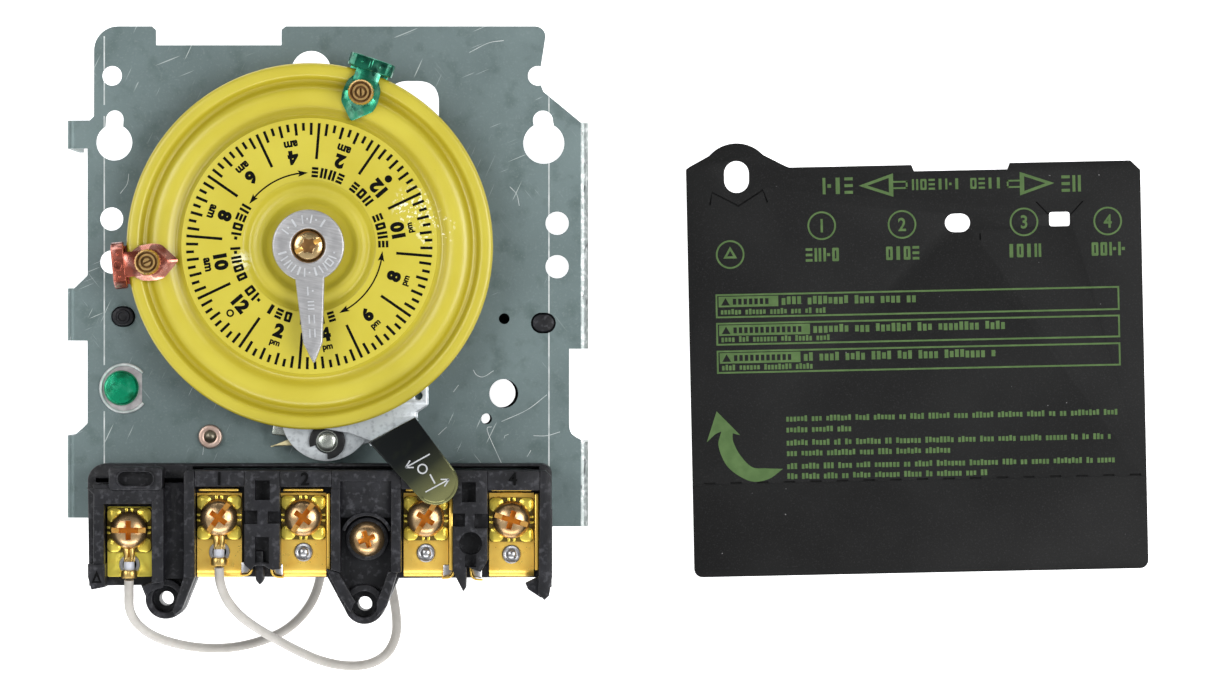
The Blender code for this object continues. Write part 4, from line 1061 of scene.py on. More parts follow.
BEND_START, BEND_END = (24.6, -39.4), (13.9, -45.1)
BLADE_TIP, BLADE_R = (29.3, -54.3), 5.15
BLADE_BACK, BLADE_FRONT = 54.6, 55.6
BLADE_TURN = -39.8
BLADE_ARROWS = (((28.0, -47.8), (22.4, -50.9)), ((27.0, -56.5), (32.4, -53.6)))
BLADE_RING, BLADE_BAR = (26.3, -51.2), (28.6, -53.5)
BRIDGE_BACK, BRIDGE_FRONT = 42.2, 43.1
CAM_PIN, CAM_CENTRE, CAM_R = (3.8, -45.1), (3.7, -39.1), 10.6
PIN_PROFILE = ((0.0, 41.9), (1.5, 41.85), (2.2, 41.6), (2.5, 41.2), (2.5, 41.4), (1.9, 41.4), (1.9, 40.6),
               (2.5, 40.6), (2.5, 37.0), (0.0, 37.0))
CLIP_START, CLIP_MOUTH, CLIP_OUTER, CLIP_INNER = -125.0, 36.0, 4.15, 2.25
PAWL = [(-9.6, -46.4), (-3.4, -46.0), (-1.6, -44.6), (-1.2, -41.6), (-2.6, -41.4), (-4.0, -44.2)]
BRACKET = [(-9.2, -43.6), (-5.0, -43.9), (-4.5, -41.4), (-4.6, -39.0), (-8.4, -39.0)]


def manual_lever():
    carrier = arc((0, 0), 8.5, 30, 190, 24) + [
        (-8.0, -36.0), (-4.5, -40.5), (-0.1, -41.9), (0.6, -46.2), (3.8, -48.0), (7.4, -46.8),
        (14.1, -45.45), (24.8, -39.75), (24.6, -38.5), (27.2, -36.8), (27.2, -32.5),
    ]
    stand = [(18.4, -35.8), (18.4, -40.2), (24.2, -37.6), (26.0, -36.6), (26.0, -35.8)]
    bridge = [(-0.6, -33.0), (-2.0, -36.4), (-0.3, -41.6), (9.2, -43.3), BEND_END, BEND_START, (24.4, -38.4),
              (27.1, -36.7), (27.1, -32.5), (22.6, -24.0), (12.0, -30.5)]
    hole = circle((25.0, -34.5), 0.95, 24)
    start, end = Vector(BEND_START), Vector(BEND_END)
    outward = Vector((start.y - end.y, end.x - start.x)).normalized() * (BLADE_FRONT - BLADE_BACK)
    riser = [BEND_START, BEND_END, tuple(end + outward), tuple(start + outward)]
    add("manual_lever", [
        prism([rounded(carrier, 0.5), circle((0, 0), POST_HOLE_R), hole], 35.5, 36.7, 0.2, 2),
        prism([rounded(stand, 0.3)], 36.0, 42.8, 0.1),
        prism([rounded(bridge, 0.35), hole], BRIDGE_BACK, BRIDGE_FRONT, 0.24, 2),
        prism([riser], 42.3, 55.3, 0.18, 2),
    ], "white_zinc", "manual_lever")
    sheet = [BEND_START, BEND_END] + arc(BLADE_TIP, BLADE_R, 220, 400, 40)
    sheet = prism([sheet], BLADE_BACK, BLADE_FRONT, 0.3, 3)
    lip = tube([(x, y, BLADE_FRONT - 0.35) for x, y in arc(BLADE_TIP, BLADE_R - 0.4, 226, 394, 36)], 0.48, 3)
    add("lever_blade", [sheet, lip], "blade_metal", "manual_lever")
    add("lever_marks", [prism(loops, BLADE_FRONT - 0.2, BLADE_FRONT + 0.1) for loops in blade_marks()],
        "bright_marks", "manual_lever")


def blade_marks():
    """Two arrows, with a ring beside one and a bar beside the other."""
    for tail, tip in BLADE_ARROWS:
        along = (Vector(tip) - Vector(tail)).normalized()
        side = Vector((-along.y, along.x))
        yield [ribbon([tail, tip], 0.3)]
        for reach in (0.9, -0.9):
            yield [ribbon([tuple(Vector(tip) - along * 1.7 + side * reach), tip], 0.3)]
    yield [circle(BLADE_RING, 1.2, 32), circle(BLADE_RING, 0.85, 32)]
    yield [turned_points(rectangle(-0.18, -1.2, 0.18, 1.2), 28.0, BLADE_BAR)]


def cam_group():
    disc = prism([circle(CAM_CENTRE, CAM_R, 96), circle(CAM_PIN, 2.8)], 39.6, 40.4, 0.12, 2)
    add("cam_disc", disc, "white_zinc", "cam")
    first, last = CLIP_START + CLIP_MOUTH, CLIP_START + 360 - CLIP_MOUTH
    clip = arc(CAM_PIN, CLIP_OUTER, first, last, 60) + arc(CAM_PIN, CLIP_INNER, last, first, 50)
    for name, mesh, material in (
            ("cam_pin", lathe(PIN_PROFILE, CAM_PIN, 48), "pin_steel"),
            ("cam_e_clip", prism([rounded(clip, 0.3, 2)], 40.7, 41.3, 0.15, 2), "clip_black"),
            ("trip_pawl", prism([rounded(PAWL, 0.4)], 37.6, 39.2, 0.2, 2), "cream_plastic"),
            ("cam_bracket", prism([rounded(BRACKET, 0.5)], 37.0, 39.0, 0.25, 2), "pin_steel")):
        add(name, mesh, material, "manual_lever")


# ---------------------------------------------------------------- terminal block

BLOCK_BACK, BLOCK_FLOOR, BLOCK_FRONT = 34.5, 46.2, 53.5
WALL_FOOT, SUNK = 45.2, 45.0
TERMINALS = {name: middle("terminal_screw_" + name) for name in "a1234"}
WIRED = "a1"
INSULATOR_SCREW = middle("insulator_screw")
SCREW_BORE_R = 2.2
LUGS = ((-33.1, -81.3), (12.7, -82.5))
LUG_R, LUG_HOLE_R, LUG_RIM_R = 4.7, 1.65, 3.0
WALLS = (
    # left ear, wall and boss
    ([(-50.9, -55.6), (-49.4, -55.6), (-49.4, -54.9), (-45.0, -54.9), (-45.0, -57.0), (-46.9, -58.0),
      (-46.9, -73.2), (-49.3, -73.2), (-49.3, -57.0)], 53.3),
    ([(-50.6, -73.1), (-46.7, -73.1), (-46.7, -78.4), (-49.8, -79.0), (-50.6, -76.0)], BLOCK_FRONT),
    # frame above the first window, and the wall to its right
    ([(-49.2, -55.7), (-33.3, -55.7), (-33.3, -59.3), (-47.0, -59.3), (-47.0, -60.0), (-49.2, -60.0)], 53.4),
    ([(-36.0, -58.9), (-33.2, -55.8), (-33.2, -77.2), (-35.9, -77.6)], BLOCK_FRONT),
    # walls beside the channel and above the poles
    ([(-28.6, -52.4), (-27.9, -51.6), (-26.1, -51.6), (-26.1, -76.2), (-28.6, -76.2)], BLOCK_FRONT),
    (rectangle(-26.1, -51.6, -14.7, -55.3), 53.3),
    (rectangle(-6.5, -51.7, 5.3, -55.4), 53.3),
    ([(5.2, -55.8), (7.4, -55.8), (7.4, -75.0), (5.2, -74.4)], BLOCK_FRONT),
    ([(5.3, -51.6), (21.3, -51.6), (21.3, -55.9), (19.0, -55.9), (19.0, -54.1), (7.4, -54.1), (7.4, -55.9),
      (5.3, -55.9)], 53.4),
    (rectangle(19.0, -55.8, 21.3, -75.0), BLOCK_FRONT),
    (rectangle(21.3, -51.7, 33.2, -55.9), 53.3),
    (rectangle(41.2, -51.7, 53.2, -56.2), 53.3),
    ([(53.2, -51.6), (54.4, -51.6), (55.7, -52.9), (55.7, -60.4), (56.0, -60.6), (56.0, -76.2), (55.3, -80.4),
      (54.2, -81.4), (52.9, -80.0)], BLOCK_FRONT),
    ([(49.8, -77.6), (50.4, -79.0), (53.4, -81.0), (54.3, -80.6), (55.6, -76.8), (53.0, -76.0)], 50.5),
    # lug arms
    ([(-28.7, -76.1), (-26.1, -76.1), (-29.0, -83.4), (-30.6, -84.9), (-31.2, -83.9)], 52.6),
    ([(-36.0, -77.3), (-33.3, -77.2), (-33.4, -78.6), (-36.2, -79.4), (-37.2, -80.5), (-38.4, -78.3)], 50.5),
    ([(4.0, -74.2), (6.9, -75.0), (9.0, -78.6), (10.8, -81.8), (9.6, -84.2), (6.9, -80.0)], 51.6),
    ([(18.2, -74.9), (20.6, -74.6), (17.9, -83.0), (15.8, -85.2), (15.6, -82.0), (17.2, -78.0)], 51.6),
)
# Steps along the block's upper edge, as the corners of what is cut away.
GAPS = (((-27.0, -51.55), (53.0, -50.75)), ((-49.3, -54.5), (-45.4, -53.5)), ((-33.7, -54.5), (-28.4, -53.5)))
DIVIDER_ONE = [(-14.7, -51.6), (-6.5, -51.6), (-6.5, -74.3), (-8.6, -74.4), (-10.2, -73.4), (-12.3, -73.4),
               (-13.2, -74.6), (-14.7, -73.2)]
CUTS_ONE = (((-12.2, -58.4), (-8.8, -53.9), 49.0), ((-16.0, -63.9), (-11.65, -60.8), 48.6),
            ((-9.3, -63.8), (-5.0, -61.0), 48.6), ((-12.2, -73.0), (-9.0, -66.9), 50.0))
PRONG = [(-12.2, -70.0), (-10.3, -70.0), (-10.3, -76.8), (-11.2, -78.0), (-12.2, -76.8)]
DIVIDER_TWO = [(33.2, -51.6), (41.2, -51.6), (41.2, -72.3), (39.6, -74.9), (38.4, -74.6), (36.4, -73.6),
               (36.2, -78.6), (35.6, -79.4), (33.2, -74.8)]
CUTS_TWO = (((35.3, -58.9), (38.5, -54.3), 49.0), ((31.0, -64.5), (36.0, -61.5), 48.6),
            ((38.2, -64.9), (43.0, -61.6), 48.6), ((36.0, -73.8), (38.6, -70.5), 50.4))
HOLDER = (-39.6, -53.5)
NUMERALS = ((-20.4, "1"), (-0.7, "2"), (27.3, "3"), (47.0, "4"))
TRIANGLE = ([(-49.7, -77.4), (-47.4, -77.4), (-48.55, -74.6)],
            [(-49.1, -77.0), (-48.0, -77.0), (-48.55, -75.7)])


def block_base_outline():
    left_lug, right_lug = LUGS
    return [
        (-50.9, -78.4), (-38.9, -78.2), *arc(left_lug, LUG_R, 176, 345, 40), (-26.0, -76.2), (4.1, -76.4),
        *arc(right_lug, LUG_R, 205, 335, 32), (20.5, -76.6), (53.1, -76.4), (55.8, -78.8),
        *arc((53.4, -52.6), 2.4, 0, 90, 10), *arc((-47.2, -54.2), 4.0, 90, 180, 14),
    ]


def upright(low, high, bottom, top=ABOVE, edge=0.0):
    """A box over a rectangle between two corners."""
    return block((*low, bottom), (*high, top), edge)


def terminal_block():
    outline = [block_base_outline()] + [circle(lug, LUG_HOLE_R, 32) for lug in LUGS]
    screws = (*TERMINALS.values(), INSULATOR_SCREW)
    middles = {name: place[0] for name, place in TERMINALS.items()}
    cuts = [prism([circle(place, SCREW_BORE_R, 24)], 36.6, ABOVE) for place in screws]
    cuts += [upright((middles[first] - 4.5, -58.6), (middles[second] + 4.5, -51.4), 30.0, 43.0)
             for first, second in ("12", "34")]
    cuts += [upright((middles[name] - 2.9, -58.4), (middles[name] + 2.9, -56.5), 42.0) for name in "1234"]
    cuts += [prism([circle(lug, LUG_RIM_R, 40)], 44.6, ABOVE) for lug in LUGS]
    cuts += [upright(low, high, 37.0) for low, high in GAPS]
    parts = [carve(prism(outline, BLOCK_BACK, BLOCK_FLOOR, 0.35, 2), *cuts)]
    parts += [prism([wall], WALL_FOOT, top, 0.22, 2) for wall, top in WALLS]
    parts += [divider_one(), divider_two(), holder()]
    parts += [prism([circle(lug, LUG_R - 0.1), circle(lug, LUG_RIM_R)], 45.6, 48.6, 0.3, 2) for lug in LUGS]
    parts.append(upright((-33.3, -76.6), (-28.5, -54.6), SUNK, 49.0, 0.15))
    boss = [circle(INSULATOR_SCREW, 5.0, 64), circle(INSULATOR_SCREW, SCREW_BORE_R, 32)]
    parts.append(prism(boss, SUNK, 50.0, 0.3, 2))
    slope = [(-54.1, SUNK), (-54.1, 52.2), (-62.5, 50.6), (-62.5, SUNK)]
    parts.append(carve(side_prism(slope, 7.3, 19.1, 0.1), prism([circle(INSULATOR_SCREW, 5.4)], 40.0, ABOVE)))
    crescent = arc(INSULATOR_SCREW, 6.2, 20, 160, 40) + arc(INSULATOR_SCREW, 5.3, 160, 20, 40)
    parts.append(prism([crescent], SUNK, 51.9, 0.2, 2))
    add("terminal_block", parts, "black_moulding", angle=40.0)
    numbers = [lettering(text, 3.0, (x, -53.5), 0.0, 53.1, 53.7, 0.95, 0.02) for x, text in NUMERALS]
    add("terminal_numbers", [*numbers, prism(TRIANGLE, 53.3, 53.75)], "number_black")


def divider_one():
    body = carve(prism([DIVIDER_ONE], WALL_FOOT, BLOCK_FRONT, 0.22, 2), *[upright(*cut) for cut in CUTS_ONE])
    prong = prism([rounded(PRONG, 0.4)], 46.0, 51.4, 0.3, 2)
    return merged((body, prong, upright((-12.6, -73.6), (-9.0, -72.7), 46.0, 52.2, 0.2)))


def divider_two():
    cuts = [upright(*cut) for cut in CUTS_TWO]
    cuts.insert(3, prism([circle((37.3, -68.4), 2.65, 40)], 48.4, ABOVE))
    return carve(prism([DIVIDER_TWO], WALL_FOOT, BLOCK_FRONT, 0.22, 2), *cuts)


def holder():
    """Raised pad with a slot-shaped recess, above the first window."""
    x, y = HOLDER
    pad = rounded(rectangle(x - 6.1, y - 2.6, x + 6.2, y + 2.7), 1.0)
    body = carve(prism([pad], 45.5, 54.4, 0.3, 2), prism([obround(HOLDER, 8.4, 3.6)], 51.4, ABOVE))
    return merged((body, prism([obround(HOLDER, 8.9, 4.1), obround(HOLDER, 8.0, 3.2)], 54.1, 54.75, 0.2, 2)))


# ---------------------------------------------------------------- terminals

FLAT_BACK, FLAT_FRONT = 46.5, 47.7
FLAT_HALF = 5.15
FLAT_ROLL = -73.9
FLAT_END = -76.4
RIVET_DROP = 8.0
EYELET_PROFILE = ((1.45, 47.75), (1.6, 48.0), (2.3, 48.0), (2.45, 47.75), (2.45, 47.5), (1.45, 47.5))
RIVET_PROFILE = ((0.0, 48.55), (0.7, 48.45), (1.15, 48.1), (1.35, 47.85), (1.6, 47.95), (1.95, 48.25),
                 (2.15, 48.05), (2.2, 47.5), (0.0, 47.5))
CLAMP_BACK, CLAMP_FRONT, CLAMP_HALF = 48.0, 49.2, 5.1
LOBE = [(-0.9, -1.5), (0.9, -1.6), (1.55, -0.9), (1.6, 0.9), (0.9, 1.6), (-0.9, 1.55), (-1.6, 0.9),
        (-1.5, -0.9)]
LOBE_OUT, TOOTH_OUT, TOOTH_HALF = 3.45, 0.62, 0.3
SLOT_TURNS = {"a": 0.0, "1": 54.0, "2": 54.0, "3": 58.0, "4": -17.0}
HEAD_BACK = 49.5
HEAD_PROFILE = [(0.0, 52.6), (1.2, 52.55), (2.4, 52.3), (3.3, 51.85), (3.95, 51.2), (4.3, 50.5), (4.35, 49.9),
                (4.2, HEAD_BACK)]
SHANK_PROFILE = [(1.9, HEAD_BACK), (1.9, 38.7), (1.7, 38.5), (0.0, 38.5)]
# Half lengths and half widths of the slot and of the cross's two arms, and the heights of their floors.
SLOT_CUTS = ((6.0, 0.6, 51.2), (2.2, 0.62, 50.6), (0.62, 2.2, 50.6))
CENTRE_PROFILE = ((0.0, 53.0), (1.1, 52.97), (2.2, 52.8), (3.0, 52.35), (3.6, 51.75), (3.95, 51.1),
                  (4.05, 50.7), (3.95, 50.3), (1.9, 50.3), (1.9, 40.2), (1.7, 40.0), (0.0, 40.0))
CLIP_ENDS = (((-14.5, -74.4), 1), ((-7.3, -74.8), -1), ((32.0, -75.0), 1), ((38.6, -75.4), -1))
CLIP_BEND = ((-1.4, -1.5), (0.3, -1.35), (1.2, -0.6), (1.45, 0.9), (1.45, 2.2))
CLIP_FACE = ((-1.2, -1.2), (0.6, -0.9), (1.1, 0.4), (1.1, 1.6), (-1.2, 1.6))
FERRULE_REACH, LEAD_HEIGHT = 11.2, 49.5
GRIP_PROFILE = ((1.1, 0.0), (1.55, 0.1), (1.68, 0.45), (1.68, 1.4), (1.5, 1.85), (1.1, 1.9))
SLEEVE_PROFILE = ((0.0, 0.0), (1.15, 0.0), (1.25, 0.3), (1.25, 1.6), (1.1, 1.9), (0.0, 1.9))


def terminal(name, place):
    """The flat under the screw with its end rolled down, and the strips bent up beside the block."""
    x, y = place
    wired = name in WIRED
    rivet = (x, y - RIVET_DROP)
    hole, lug_hole = circle(place, SCREW_BORE_R, 32), circle(rivet, 2.15, 32)
    if name == "a":
        outline = rectangle(x - FLAT_HALF, FLAT_END + 0.2, x + FLAT_HALF, y + 5.4)
        parts = [prism([rounded(outline, 0.4), hole, lug_hole], FLAT_BACK, FLAT_FRONT, 0.12)]
    else:
        loops = [rectangle(x - FLAT_HALF, FLAT_ROLL, x + FLAT_HALF, -56.9), hole] + [lug_hole] * wired
        bend = (FLAT_ROLL, FLAT_FRONT - 2.5)
        rolled = arc(bend, 2.5, 90, 180, 10) + arc(bend, 1.3, 180, 90, 8)
        parts = [
            prism(loops, FLAT_BACK, FLAT_FRONT),
            side_prism(rolled, x - FLAT_HALF, x + FLAT_HALF),
            upright((x - 2.5, -57.9), (x + 2.5, -56.8), 37.0, FLAT_FRONT - 0.2, 0.1),
            upright((x - 4.6, -56.4), (x + 4.6, -55.9), 47.0, 50.6, 0.15),
        ]
    if name in "234":
        parts.append(upright((x + 5.4, -74.6), (x + 6.2, -57.0), 46.5, 50.4, 0.2))
    add("terminal_" + name, parts, "pale_brass" if name == "a" else "terminal_brass")
    kind, profile = ("eyelet_", EYELET_PROFILE) if wired else ("rivet_", RIVET_PROFILE)
    add(kind + name, lathe(profile, rivet, 48), "steel")


def clamp(name, place):
    """Pressure plate with domed corners and notched sides, and the slotted screw through it."""
    place = (*place, 0.0)
    low, high = CLAMP_BACK + 0.3, CLAMP_FRONT
    plate = rounded(rectangle(-CLAMP_HALF, -CLAMP_HALF, CLAMP_HALF, CLAMP_HALF), 0.9)
    parts = [prism([plate, circle((0, 0), 2.3, 32)], CLAMP_BACK, CLAMP_FRONT - 0.35, 0.15)]
    for turn in range(0, 360, 90):
        corner = rounded(LOBE, 0.5, 3)
        lobe = chamfered(corner, scaled(corner, 0.62, (-0.1, -0.1)), low, high, high + 0.3)
        parts.append(moved(moved(lobe, (LOBE_OUT, LOBE_OUT, 0.0)), turn=turn))
        for x in (-TOOTH_OUT, TOOTH_OUT):
            tooth = upright((x - TOOTH_HALF, 4.0), (x + TOOTH_HALF, CLAMP_HALF), low, high + 0.1, 0.12)
            parts.append(moved(tooth, turn=turn))
    # Painted shade: the plate and the lower sides of the lobes and teeth take the dark brass, so the gaps
    # between them read as shadow.
    plate = paint(moved(merged(parts), place), lambda point: point.z < CLAMP_FRONT - 0.12)
    add("clamp_plate_" + name, plate, "clamp_brass dull_brass", "clamp_" + name)
    cuts = [upright((-x, -y), (x, y), bottom) for x, y, bottom in SLOT_CUTS]
    # Painted light in the slot and painted shade in the deeper cross.
    head = paint(carve(lathe(HEAD_PROFILE + SHANK_PROFILE, steps=72), *cuts), in_recess)
    head = moved(head, place, SLOT_TURNS[name])
    add("terminal_screw_" + name, head, "bronze recess_gold recess_orange", "clamp_" + name)


def dome_height(radius):
    """Height of the screw's domed top at a distance from its axis."""
    for (near, high), (far, low) in zip(HEAD_PROFILE, HEAD_PROFILE[1:]):
        if near <= radius <= far:
            return high + (low - high) * (radius - near) / (far - near)
    return HEAD_BACK


def in_recess(point):
    """0 on the screw's outside, 1 in its slot, in painted light, and 2 in its deeper cross, in painted shade.
    """
    radius = hypot(point.x, point.y)
    if point.z < 50.5 or point.z > dome_height(radius) - 0.12:
        return 0
    return 2 if radius < 2.25 and point.z < 51.9 else 1


def centre_screw():
    arms = [upright((-x, -y), (x, y), 51.2, ABOVE, 0.2) for x, y in ((2.0, 0.6), (0.6, 2.0))]
    head = carve(lathe(CENTRE_PROFILE, steps=72), *arms)
    # Painted shade: the cross's recess takes the deeper orange.
    paint(head, lambda point: 51.1 < point.z < 52.45 and hypot(point.x, point.y) < 2.1)
    head = moved(head, (*INSULATOR_SCREW, 0.0), 20.0)
    add("insulator_screw", head, "bronze recess_orange", "insulator_screw")


def ferrule(name, place):
    """Crimped barrel on a lead's end: two folded lobes, a gripping ring and a plastic collar."""
    x, low = place[0], place[1] - FERRULE_REACH
    halves = (0.72, 2.2, 0.75)
    lobes = [moved(ball((0, 0, 0), halves, 14), (x + side, low + 6.3, LEAD_HEIGHT + 0.1))
             for side in (-0.66, 0.66)]
    neck = block((x - 0.9, low + 3.6, 48.6), (x + 0.9, low + 5.2, 49.9), 0.35, 3)
    tongue = block((x - 1.3, low + 3.8, 48.1), (x + 1.3, low + 9.6, 48.8), 0.25)
    rings = [on_lead(GRIP_PROFILE, x + side, low + 2.0) for side in (-0.25, 0.25)]
    add("ferrule_" + name, [*lobes, neck, tongue, *rings], "gear_brass")
    add("ferrule_collar_" + name, on_lead(SLEEVE_PROFILE, x, low + 3.9), "collar_grey")


def on_lead(profile, x, y):
    """A turned ring with the lead's end as its axis."""
    return moved(moved(lathe(profile, steps=32), turn=90, axis="X"), (x, y, LEAD_HEIGHT))


def clip_ends():
    """Ends of the two bent clips that show beside the dividers."""
    shells, faces = [], []
    for (x, y), side in CLIP_ENDS:
        bend, face = [[(x + side * across, y + along) for across, along in line]
                      for line in (CLIP_BEND, CLIP_FACE)]
        shells.append(prism([ribbon(smooth(bend, 4), 0.4)], 46.4, 49.4, 0.08))
        faces.append(prism([rounded(face, 0.4)], 46.4, 47.9, 0.2))
    add("clip_ends", shells, "terminal_brass")
    add("clip_faces", faces, "steel")


# ---------------------------------------------------------------- leads

LEAD_D = 2.2
LEAD_ROUTES = {
    "a": [
        (-41.4, -76.9, 49.5), (-41.5, -80.0, 48.6), (-41.6, -84.0, 44.5), (-40.3, -87.6, 37.0),
        (-37.0, -91.0, 26.0), (-31.8, -93.4, 14.5), (-26.0, -94.6, 6.5), (-19.6, -94.5, 2.6),
        (-13.2, -93.0, 1.3), (-7.6, -90.4, 1.3), (-3.3, -86.4, 1.4), (-0.5, -81.5, 1.8),
        (1.0, -75.0, 2.6), (1.7, -67.0, 3.7), (1.9, -58.0, 4.8), (1.7, -49.0, 5.8),
        (1.3, -40.0, 6.7), (0.8, -31.0, 7.5), (0.3, -22.0, 8.2), (0.0, -13.3, 8.6),
    ],
    "1": [
        (-20.7, -74.0, 49.5), (-20.5, -77.4, 48.6), (-19.3, -81.4, 44.6), (-16.8, -85.3, 38.0),
        (-13.2, -88.8, 29.0), (-9.0, -92.0, 19.0), (-4.2, -95.2, 10.0), (1.2, -97.8, 4.2),
        (6.8, -99.0, 1.7), (12.0, -98.6, 1.3), (16.0, -96.4, 1.3), (18.2, -92.6, 1.4),
        (18.6, -88.0, 1.7), (17.6, -81.0, 2.4), (15.8, -73.0, 3.3), (13.8, -64.0, 4.3),
        (12.0, -55.0, 5.3), (10.5, -46.0, 6.2), (9.2, -36.0, 7.2), (8.4, -25.0, 8.1),
        (8.0, -13.3, 8.6),
    ],
}


def lead(name):
    """A motor lead, from its ferrule round the block's lower edge to the motor behind the plate."""
    points = [TO_WORLD @ Vector(point) for point in smooth(LEAD_ROUTES[name], 6)]
    data = wire("lead_" + name, points, LEAD_D / 2 * MM, 4)
    data.splines[0].use_smooth = True
    material = finish("lead_grey")
    data.materials.append(material)
    obj = linked("lead_" + name, data)
    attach(obj, "root")
    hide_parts("lead_" + name)
    length = sum((after - before).length for before, after in zip(points, points[1:]))
    tuple(points[0])


# ---------------------------------------------------------------- ground screw and stud

GROUND_WASHER = ((0.0, 34.5), (4.05, 34.5), (4.1, 34.7), (4.0, 35.2), (3.5, 35.7), (0.0, 36.0))
GROUND_BOSS = ((0.0, 38.2), (2.9, 38.2), (2.9, 38.75), (2.7, 38.9), (0.0, 38.9))
GROUND_SHANK = ((0.0, 26.0), (1.8, 26.0), (2.0, 26.2), (2.0, 34.6), (0.0, 34.6))
STUD_RING = ((1.55, 35.6), (2.0, 35.75), (2.55, 35.6), (2.8, 35.1), (2.8, 34.5), (1.4, 34.5), (1.4, 31.9),
             (1.2, 31.9), (1.2, 35.0))
STUD_DOME = ((0.0, 36.3), (0.7, 36.2), (1.2, 35.9), (1.5, 35.5), (1.5, 34.8), (0.0, 34.8))


def ground_screw():
    hexagon = rounded([polar(3.7, angle) for angle in range(8, 368, 60)], 0.3, 3)
    head = merged((prism([hexagon], 35.4, 38.6, 0.3, 3), lathe(GROUND_BOSS, steps=48)))
    slot = moved(block((-0.6, -4.0, 37.6), (0.6, 4.0, 40.0)), turn=-9.0)
    screw = merged((lathe(GROUND_WASHER), carve(head, slot), lathe(GROUND_SHANK, steps=32)))
    add("ground_screw", moved(screw, (*middle("ground_screw"), 0.0)), "ground_green", "ground_screw")


def stud():
    place = middle("plate_stud")
    add("plate_stud", lathe(STUD_RING, place, 48), "stud_ring")
    add("stud_dome", lathe(STUD_DOME, place, 40), "stud_dark")


# ---------------------------------------------------------------- insulator sheet

SHEET = (100.3, 18.0)
SHEET_TURN = 1.2
SHEET_PIVOT = (42.0, -43.5)
SHEET_T, SHEET_EDGE = 0.6, 0.06
SHEET_LEFT, SHEET_RIGHT = -12.0, 96.0
FOLD_Y, SHEET_BOTTOM = -73.0, -95.0
INK = (SHEET_T - 0.05, SHEET_T + 0.03)
LINE = 0.42
RING_R = 3.4
TERMINAL_RINGS = (((20.0, -12.0), "1"), ((39.1, -12.1), "2"), ((68.1, -12.1), "3"), ((88.0, -12.3), "4"))
BARE_RING = (-1.9, -18.4)
# Each frame's top and bottom, its label's length, and the right ends of its two lines of text.
FRAMES = ((-27.8, -33.5, 14.2, 43.0, 21.0), (-34.6, -40.0, 21.6, 63.4, 22.0),
          (-41.2, -46.7, 19.2, 60.8, 18.0))
FRAME_LEFT, FRAME_RIGHT = -5.6, 90.4
PARAGRAPH = ((-57.7, 89.6), (-60.3, 26.7), (-63.4, 87.8), (-65.9, 49.6), (-69.0, 89.0), (-71.4, 58.6))
PARAGRAPH_LEFT = 10.6
DASHES, DASH, DASH_PITCH, FIRST_DASH = 17, 2.7, 6.33, -9.3
SLITS = (
    (((71.1, -7.4), (73.9, -10.4)), 0.3), (((82.2, -7.4), (79.3, -10.5)), 0.3),
    (((57.6, -14.6), (57.6, -16.2)), 0.4),
    (((-6.5, -6.6), (-5.9, -3.6), (0.3, -6.9), (6.2, -3.2), (7.2, -6.2)), 0.45),
)
SWEEP_OUTER = ((-4.9, -60.4), (-5.6, -64.0), (-3.4, -69.0), (1.6, -72.3), (6.0, -72.0), (9.6, -69.6))
SWEEP_INNER = ((9.6, -69.6), (5.6, -69.4), (2.2, -69.0), (-0.6, -66.0), (-2.1, -62.9), (-2.2, -60.9))
SWEEP_HEAD = [(-0.4, -61.4), (-5.9, -55.6), (-8.4, -62.9), (-6.3, -61.0)]


def on_sheet(mesh):
    """From the sheet's own frame, with zero at its slot, to its place beside the plate."""
    pivot = Vector((*SHEET_PIVOT, 0.0))
    mesh.transform(Matrix.Translation((*SHEET, 0.0)) @ Matrix.Translation(pivot)
                   @ Matrix.Rotation(radians(SHEET_TURN), 4, "Z") @ Matrix.Translation(-pivot))
    return mesh


def ink(*loops):
    return prism(loops, *INK)


def insulator():
    left, right, gap = SHEET_LEFT, SHEET_RIGHT, 0.01
    outline = [(left, FOLD_Y + gap), (right, FOLD_Y + gap), (right, -0.3), (right - 2.3, 2.0), (65.0, 2.0),
               (64.4, 0.5), (42.2, 0.5), (41.6, 2.0), (12.5, 2.0), (11.2, 2.6),
               *arc((0.0, -0.6), 8.6, 42, 138, 30), (-11.2, 2.6), (left, 2.0)]
    holes = [obround((0.0, 0.0), 7.6, 5.9, 90), obround((52.3, -12.0), 6.0, 4.4),
             rounded(rectangle(74.1, -13.3, 79.0, -9.9), 0.7)]
    slits = [ribbon(slit, width) for slit, width in SLITS]
    dashes = [FIRST_DASH + i * DASH_PITCH for i in range(DASHES)]
    slits += [rectangle(x, FOLD_Y + 0.08, x + DASH, FOLD_Y + 0.5) for x in dashes]
    grooves = merged([prism([slit], 0.15, 2.0) for slit in slits])
    sheet = carve(prism([outline] + holes, 0.0, SHEET_T, SHEET_EDGE), grooves)
    # Painted shade: the faces inside the slits' grooves take the near-black finish.
    paint(sheet, lambda point: 0.1 < point.z < 0.5 and FOLD_Y - 1.0 < point.y < 1.0
          and any(in_loop(point, slit) for slit in slits))
    add("insulator_sheet", on_sheet(sheet), "insulator_fibre slit_dark", "insulator_sheet")
    flap = [(right, FOLD_Y), (left, FOLD_Y), *arc((left + 2.0, SHEET_BOTTOM + 2.0), 2.0, 180, 270, 10),
            *arc((right - 2.0, SHEET_BOTTOM + 2.0), 2.0, 270, 360, 10)]
    flap = on_sheet(prism([flap], 0.0, SHEET_T, SHEET_EDGE))
    add("insulator_flap", flap, "insulator_fibre", "insulator_flap")
    printed = [*sheet_rings(), *sheet_arrows(), *sheet_frames(), *sheet_paragraph()]
    add("insulator_print", on_sheet(merged(printed)), "print_green", "insulator_sheet")


